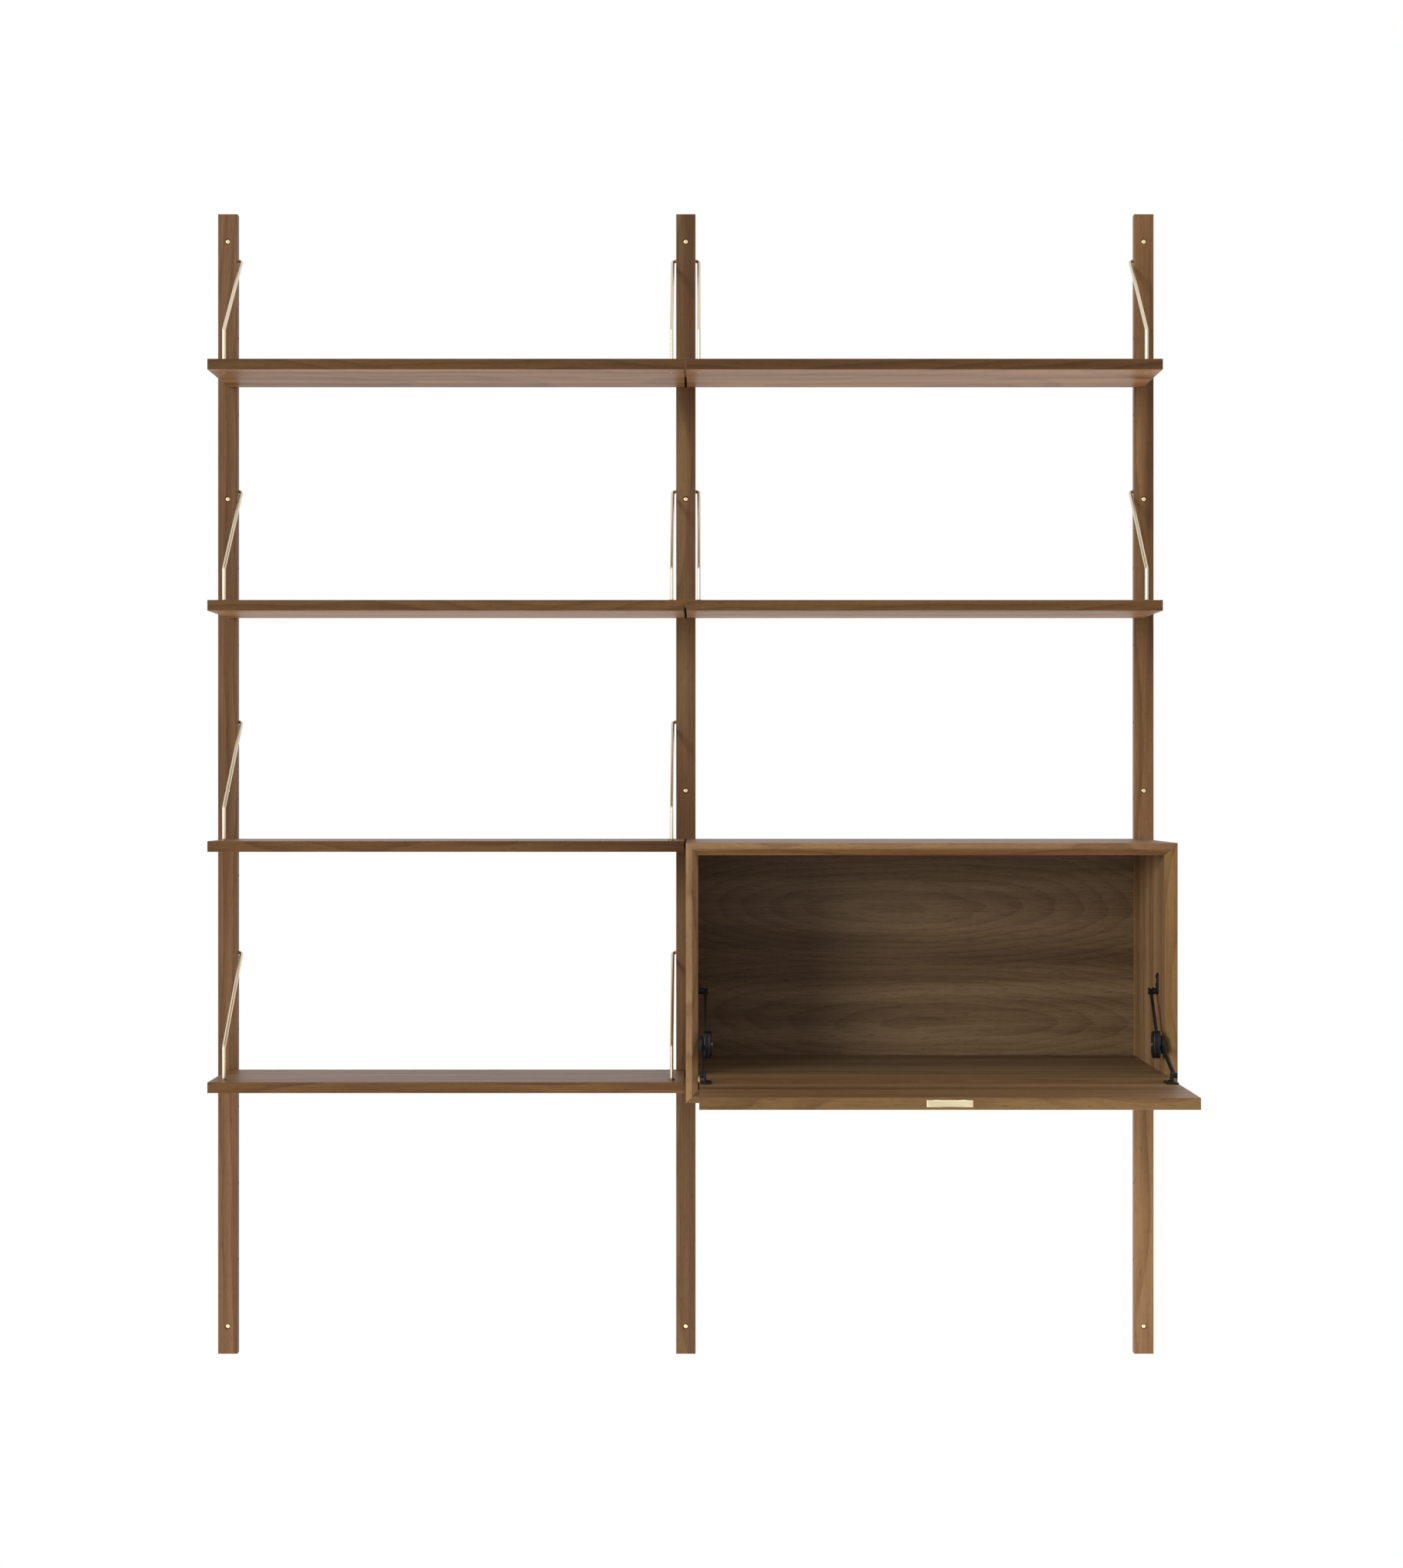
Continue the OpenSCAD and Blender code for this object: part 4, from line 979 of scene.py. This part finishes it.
@dataclass
class Stay:
    """One folding stay: bracket, upper arm with its damper and bolt, lower arm with disc, and foot."""

    frame: dict
    side: str
    edge: float = 0.8 * MM
    arm_radius: float = 4 * MM
    play: float = 0.3 * MM
    plate_thick: float = 2.5 * MM
    pin_radius: float = 2 * MM

    def __post_init__(self) -> None:
        """Finds the stay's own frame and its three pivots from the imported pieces."""
        self.toward = 1 if self.side == "left" else -1
        low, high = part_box(f"cabinet_side_{self.side}")
        self.inner_x = high[0] if self.toward > 0 else low[0]
        self.place = Place((self.inner_x, 0, 0), (0, 1, 0), (0, 0, 1), (self.toward, 0, 0))
        joints = {joint["name"]: joint["pos_m"] for joint in self.frame["joints"]}
        self.upper = np.array(joints[f"stay_upper_{self.side}_pivot"][1:])
        self.foot = np.array(joints[f"stay_lower_{self.side}_pivot"][1:])
        low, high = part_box(f"stay_damper_{self.side}")
        self.elbow = np.array([(low[1] + high[1]) / 2, (low[2] + high[2]) / 2])

    def span(self, piece: str) -> tuple[float, float]:
        """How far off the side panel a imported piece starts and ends.

        Args:
            piece: The node's name, without its side.
        Returns:
            The two distances.
        """
        low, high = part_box(f"{piece}_{self.side}")
        ends = sorted((self.toward * (low[0] - self.inner_x), self.toward * (high[0] - self.inner_x)))
        return ends[0], ends[1]

    def shell(self, rings: np.ndarray, rise: float = 0.0) -> tuple[np.ndarray, list]:
        """A shell in the stay's frame, lifted off the side panel.

        Args:
            rings: Rings with their height on Z.
            rise: Distance from the side panel.
        Returns:
            Vertices and faces.
        """
        return loft(self.place.put(rings + np.array([0, 0, rise])))

    def disc(self, centre: np.ndarray, radius: float, height: float, rise: float,
             edge: float = 0.6 * MM, ribs: int = 0) -> tuple[np.ndarray, list]:
        """A rounded disc, with small ribs round its rim if asked.

        The radius at angle a is the plain one times 1 + 0.02 cos(ribs a).

        Args:
            centre: Its centre in the plane of the side panel.
            radius: Outer radius.
            height: Thickness.
            rise: Distance from the side panel.
            edge: Radius of the rounded rims.
            ribs: Number of ribs.
        Returns:
            Vertices and faces.
        """
        around = max(32, ribs * 6)
        rings = turned(rounded_profile(radius, height, edge), around)
        if ribs:
            ripple = 1 + 0.02 * np.cos(ribs * circle_angles(around))
            rings[..., :2] *= (ripple / 1.02)[None, :, None]
        return self.shell(rings + np.array([centre[0], centre[1], 0]), rise)

    def bar(self, start: np.ndarray, end: np.ndarray, radius: float, thick: float, rise: float,
            edge: float = 0.5 * MM) -> tuple[np.ndarray, list]:
        """A round-ended bar with rounded edges.

        Args:
            start: Centre of one end.
            end: Centre of the other.
            radius: Half its width.
            thick: Thickness.
            rise: Distance from the side panel.
            edge: Radius of its edges.
        Returns:
            Vertices and faces.
        """
        return self.shell(oval_rings(start, end, rounded_profile(radius, thick, edge)), rise)

    def build(self) -> None:
        """Makes the stay's pieces, each on the body that it moves with."""
        upper_body, lower_body = f"stay_upper_{self.side}", f"stay_lower_{self.side}"
        self.bracket()
        start, end = self.span("stay_upper_arm")
        arm = [self.bar(self.upper, self.elbow, self.arm_radius, end - start, start)]
        add_piece(f"upper_arm_{self.side}", arm, BLACK_STEEL, upper_body, (f"stay_upper_arm_{self.side}",))
        self.damper(upper_body)
        self.bolt(upper_body)
        self.lower_arm(lower_body)
        self.door_foot()

    def bracket(self) -> None:
        """Makes the side bracket: plate, post, pin and pivot cap."""
        low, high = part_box(f"stay_bracket_{self.side}")
        width = high[1] - low[1]
        top = np.array([self.upper[0], high[2] - width / 2])
        reach = self.span("stay_bracket")[1]
        start, end = self.span("stay_upper_arm")
        post = start - self.play - self.plate_thick
        shells = [
            self.bar(self.upper, top, width / 2, self.plate_thick, 0.0),
            self.disc(self.upper, width / 2 - self.edge, post * 0.7, self.plate_thick),
            self.disc(self.upper, width / 2, post * 0.3, self.plate_thick + post * 0.7),
            self.disc(self.upper, self.pin_radius, reach - 1 * MM, 0.5 * MM, 0.2 * MM),
            self.disc(self.upper, width / 2, reach - end - self.play, end + self.play, 0.8 * MM),
        ]
        add_piece(f"bracket_{self.side}", shells, BLACK_STEEL, "root", (f"stay_bracket_{self.side}",))

    def damper(self, body: str) -> None:
        """Makes the oval damper housing: two halves with a parting groove and a raised oval.

        Args:
            body: The body that it moves with.
        """
        low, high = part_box(f"stay_damper_{self.side}")
        start, end = self.span("stay_damper")
        radius = (high[1] - low[1]) / 2
        reach = (high[2] - low[2]) / 2 - radius
        ends = self.elbow - [0, reach], self.elbow + [0, reach]
        half, groove = (end - start) / 2, 0.4 * MM
        shells = [
            self.bar(*ends, radius, half - groove, start, 1.6 * MM),
            self.bar(*ends, radius - 1 * MM, 4 * groove, start + half - 2 * groove, 0.1 * MM),
            self.bar(*ends, radius, half - 2.5 * groove, start + half + groove, 2.2 * MM),
            self.bar(*ends, radius - 4 * MM, 2.5 * groove, end - 2.5 * groove, 0.4 * MM),
        ]
        add_piece(f"damper_{self.side}", shells, BLACK_HOUSING, body, (f"stay_damper_{self.side}",))

    def bolt(self, body: str) -> None:
        """Makes the bright bolt in the damper's inner face.

        Args:
            body: The body that it moves with.
        """
        start, end = self.span("elbow_bolt")
        head = end - self.span("stay_damper")[1]
        bolt = Screw(4 * MM, head, 2.5 * MM, end - start - head, thread_start=end - start)
        centre = self.place.put(np.array([*self.elbow, end - head]))
        shells = bolt.shells(Place(tuple(centre), self.place.x, self.place.y, self.place.z))
        add_piece(f"elbow_bolt_head_{self.side}", shells, BRIGHT_STEEL, body, (f"elbow_bolt_{self.side}",))

    def lower_arm(self, body: str) -> None:
        """Makes the lower arm and its ribbed friction disc beside the side panel.

        Args:
            body: The body that it moves with.
        """
        low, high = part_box(f"stay_lower_arm_{self.side}")
        start, end = self.span("stay_lower_arm")
        upper = self.span("stay_upper_arm")
        thick = upper[1] - upper[0]
        radius = high[2] - self.elbow[1]
        shells = [
            self.bar(self.foot, self.elbow, self.arm_radius, thick, end - thick),
            self.disc(self.elbow, radius, (end - start) * 0.55, start + (end - start) * 0.2, 0.7 * MM, 30),
            self.disc(self.elbow, radius * 0.8, end - start, start, 0.9 * MM),
        ]
        add_piece(f"lower_arm_{self.side}", shells, BLACK_STEEL, body, (f"stay_lower_arm_{self.side}",))

    def door_foot(self) -> None:
        """Makes the foot on the door: plate with rounded corners, lug, pin and outer cap."""
        low, high = (np.array(corner[:]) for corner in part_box(f"stay_foot_{self.side}"))
        wide, base, corner = high[0] - low[0], low[2], 3 * MM
        rings = oval_rings(np.array([low[1] + corner, 0.0]), np.array([high[1] - corner, 0.0]),
                           rounded_profile(corner, self.plate_thick, 0.5 * MM))
        rings[..., 1] += np.sign(rings[..., 1]) * (wide / 2 - corner)
        plate = Place(((low[0] + high[0]) / 2, 0, base), (0, 1, 0), (1, 0, 0), (0, 0, 1))
        upper = self.span("stay_upper_arm")
        end = self.span("stay_lower_arm")[1]
        start = end - (upper[1] - upper[0])
        lug, cap = end + self.play, start - self.play - 1.5 * MM
        under = np.array([self.foot[0], base + 1 * MM])
        shells = [
            loft(plate.put(rings)),
            self.bar(under, self.foot, 6 * MM, 4 * MM, lug, 0.6 * MM),
            self.disc(self.foot, self.pin_radius, lug - cap, cap + 1 * MM, 0.2 * MM),
            self.disc(self.foot, 5 * MM, 1.5 * MM, cap, 0.5 * MM),
        ]
        add_piece(f"door_foot_{self.side}", shells, BLACK_STEEL, "door", (f"stay_foot_{self.side}",))


@dataclass
class StayScrews:
    """The small screws of the stays' brackets and feet."""

    frame: dict
    head_height: float = 1.6 * MM

    def build(self) -> None:
        """Makes both groups: the bracket's point into the side panels, the feet's into the door."""
        self.group("bracket_screws", "root", 0)
        self.group("foot_screws", "door", 2)

    def group(self, node: str, body: str, axis: int) -> None:
        """Makes one group of screws.

        Args:
            node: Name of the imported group.
            body: The body that it moves with.
            axis: The row axis that the screws lie along.
        """
        low_all, high_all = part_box(node)
        middle = (low_all[0] + high_all[0]) / 2
        shells = []
        for low, high in solids_of(self.frame, node):
            centre = (low + high) / 2
            out = 1.0 if axis == 2 or centre[0] < middle else -1.0
            head = (high if out > 0 else low)[axis] - out * self.head_height
            origin = centre.copy()
            origin[axis] = head
            z = np.zeros(3)
            z[axis] = out
            x = np.array([0.0, 1.0, 0.0])
            across = 1 if axis == 0 else 0
            screw = Screw((high[across] - low[across]) / 2, self.head_height, 1.5 * MM,
                          (high - low)[axis] - self.head_height, thread_start=1 * MM, around=18)
            shells += screw.shells(Place(tuple(origin), tuple(x), tuple(np.cross(z, x)), tuple(z)))
        add_piece("turned_" + node, shells, BLACK_STEEL, body, (node,))


@dataclass
class Studio:
    """White surroundings, soft lights, a pale floor and the camera."""

    distance: float = 5.045
    camera_x: float = 0.0275
    lens: float = 66.0
    floor_gap: float = 0.45
    ambient: float = 0.70
    key_power: float = 1.5
    key_angle: float = math.radians(20)
    key_tilt: float = math.radians(81)
    key_turn: float = math.radians(-40)

    def build(self) -> None:
        """Sets the scene round the object."""
        self.world()
        self.camera()
        self.floor()
        self.sun()
        self.light("low", (0.0, -1.1, -1.35), 2.2, 17.0)

    def world(self) -> None:
        """White surroundings, which light matt surfaces less than they show."""
        world = bpy.data.worlds.new("white_room")
        world.use_nodes = True
        tree = world.node_tree
        background = tree.nodes["Background"]
        background.inputs[0].default_value = (1, 1, 1, 1)
        path = tree.nodes.new("ShaderNodeLightPath")
        dim = tree.nodes.new("ShaderNodeMath")
        dim.operation = "MULTIPLY_ADD"
        dim.inputs[1].default_value = self.ambient - 1
        dim.inputs[2].default_value = 1.0
        tree.links.new(path.outputs["Is Diffuse Ray"], dim.inputs[0])
        tree.links.new(dim.outputs[0], background.inputs[1])
        bpy.context.scene.world = world
        bpy.context.scene.view_settings.view_transform = "Standard"

    def camera(self) -> None:
        """Level camera square to the wall, at the height of the rails' middle."""
        rail_low, rail_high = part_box("rail_middle")
        data = bpy.data.cameras.new("camera")
        data.lens = self.lens
        data.sensor_width = 36.0
        data.sensor_fit = "AUTO"
        camera = bpy.data.objects.new("camera", data)
        camera.location = (self.camera_x, rail_low[1] - self.distance, (rail_low[2] + rail_high[2]) / 2)
        camera.rotation_euler = (math.pi / 2, 0, 0)
        bpy.context.scene.collection.objects.link(camera)
        bpy.context.scene.camera = camera

    def floor(self) -> None:
        """Pale floor below the rails, in front of the wall plane."""
        low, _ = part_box("rail_middle")
        z = low[2] - self.floor_gap
        corners = [(-4.0, -5.0, z), (4.0, -5.0, z), (4.0, 0.15, z), (-4.0, 0.15, z)]
        mesh = bpy.data.meshes.new("pale_floor")
        mesh.from_pydata(corners, [], [(0, 1, 2, 3)])
        floor = bpy.data.objects.new("pale_floor", mesh)
        bpy.context.scene.collection.objects.link(floor)
        sheet = NodeSheet("pale_floor")
        place = sheet.add("TexCoord").outputs["Object"]
        cloud = sheet.noise(place, (3.0, 3.0, 3.0), 2.0).outputs[0]
        sheet.feed("Base Color", sheet.mix(cloud, (0.90, 0.90, 0.89, 1.0), (0.86, 0.86, 0.85, 1.0)))
        sheet.feed("Roughness", 0.7)
        mesh.materials.append(sheet.material)
        floor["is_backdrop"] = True

    def sun(self) -> None:
        """Wide soft key from the upper left, which shades the left third of the open cabinet."""
        data = bpy.data.lights.new("key", "SUN")
        data.energy = self.key_power
        data.angle = self.key_angle
        lamp = bpy.data.objects.new("key", data)
        lamp.rotation_euler = (self.key_tilt, 0, self.key_turn)
        bpy.context.scene.collection.objects.link(lamp)

    def light(self, name: str, place: tuple, size: float, power: float) -> None:
        """A soft square light that faces the object's middle.

        Args:
            name: Its name.
            place: Where it stands.
            size: Length of its side.
            power: Its power in watts.
        """
        data = bpy.data.lights.new(name, "AREA")
        data.size = size
        data.energy = power
        lamp = bpy.data.objects.new(name, data)
        lamp.visible_camera = False
        lamp.location = place
        low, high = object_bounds()
        aim = (low + high) / 2 - lamp.location
        lamp.rotation_euler = aim.to_track_quat("-Z", "Y").to_euler()
        bpy.context.scene.collection.objects.link(lamp)


def main() -> None:
    """Loads the frame and builds each sub-assembly in order."""
    logging.basicConfig(level=logging.INFO, format="%(name)s: %(message)s")
    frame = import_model()
    Studio().build()
    WallRails(frame).build()
    Shelves(frame).build()
    Cabinet(frame).build()
    Door(frame).build()
    for side in ("left", "right"):
        Stay(frame, side).build()
    StayScrews(frame).build()


if __name__ == "__main__":
    main()
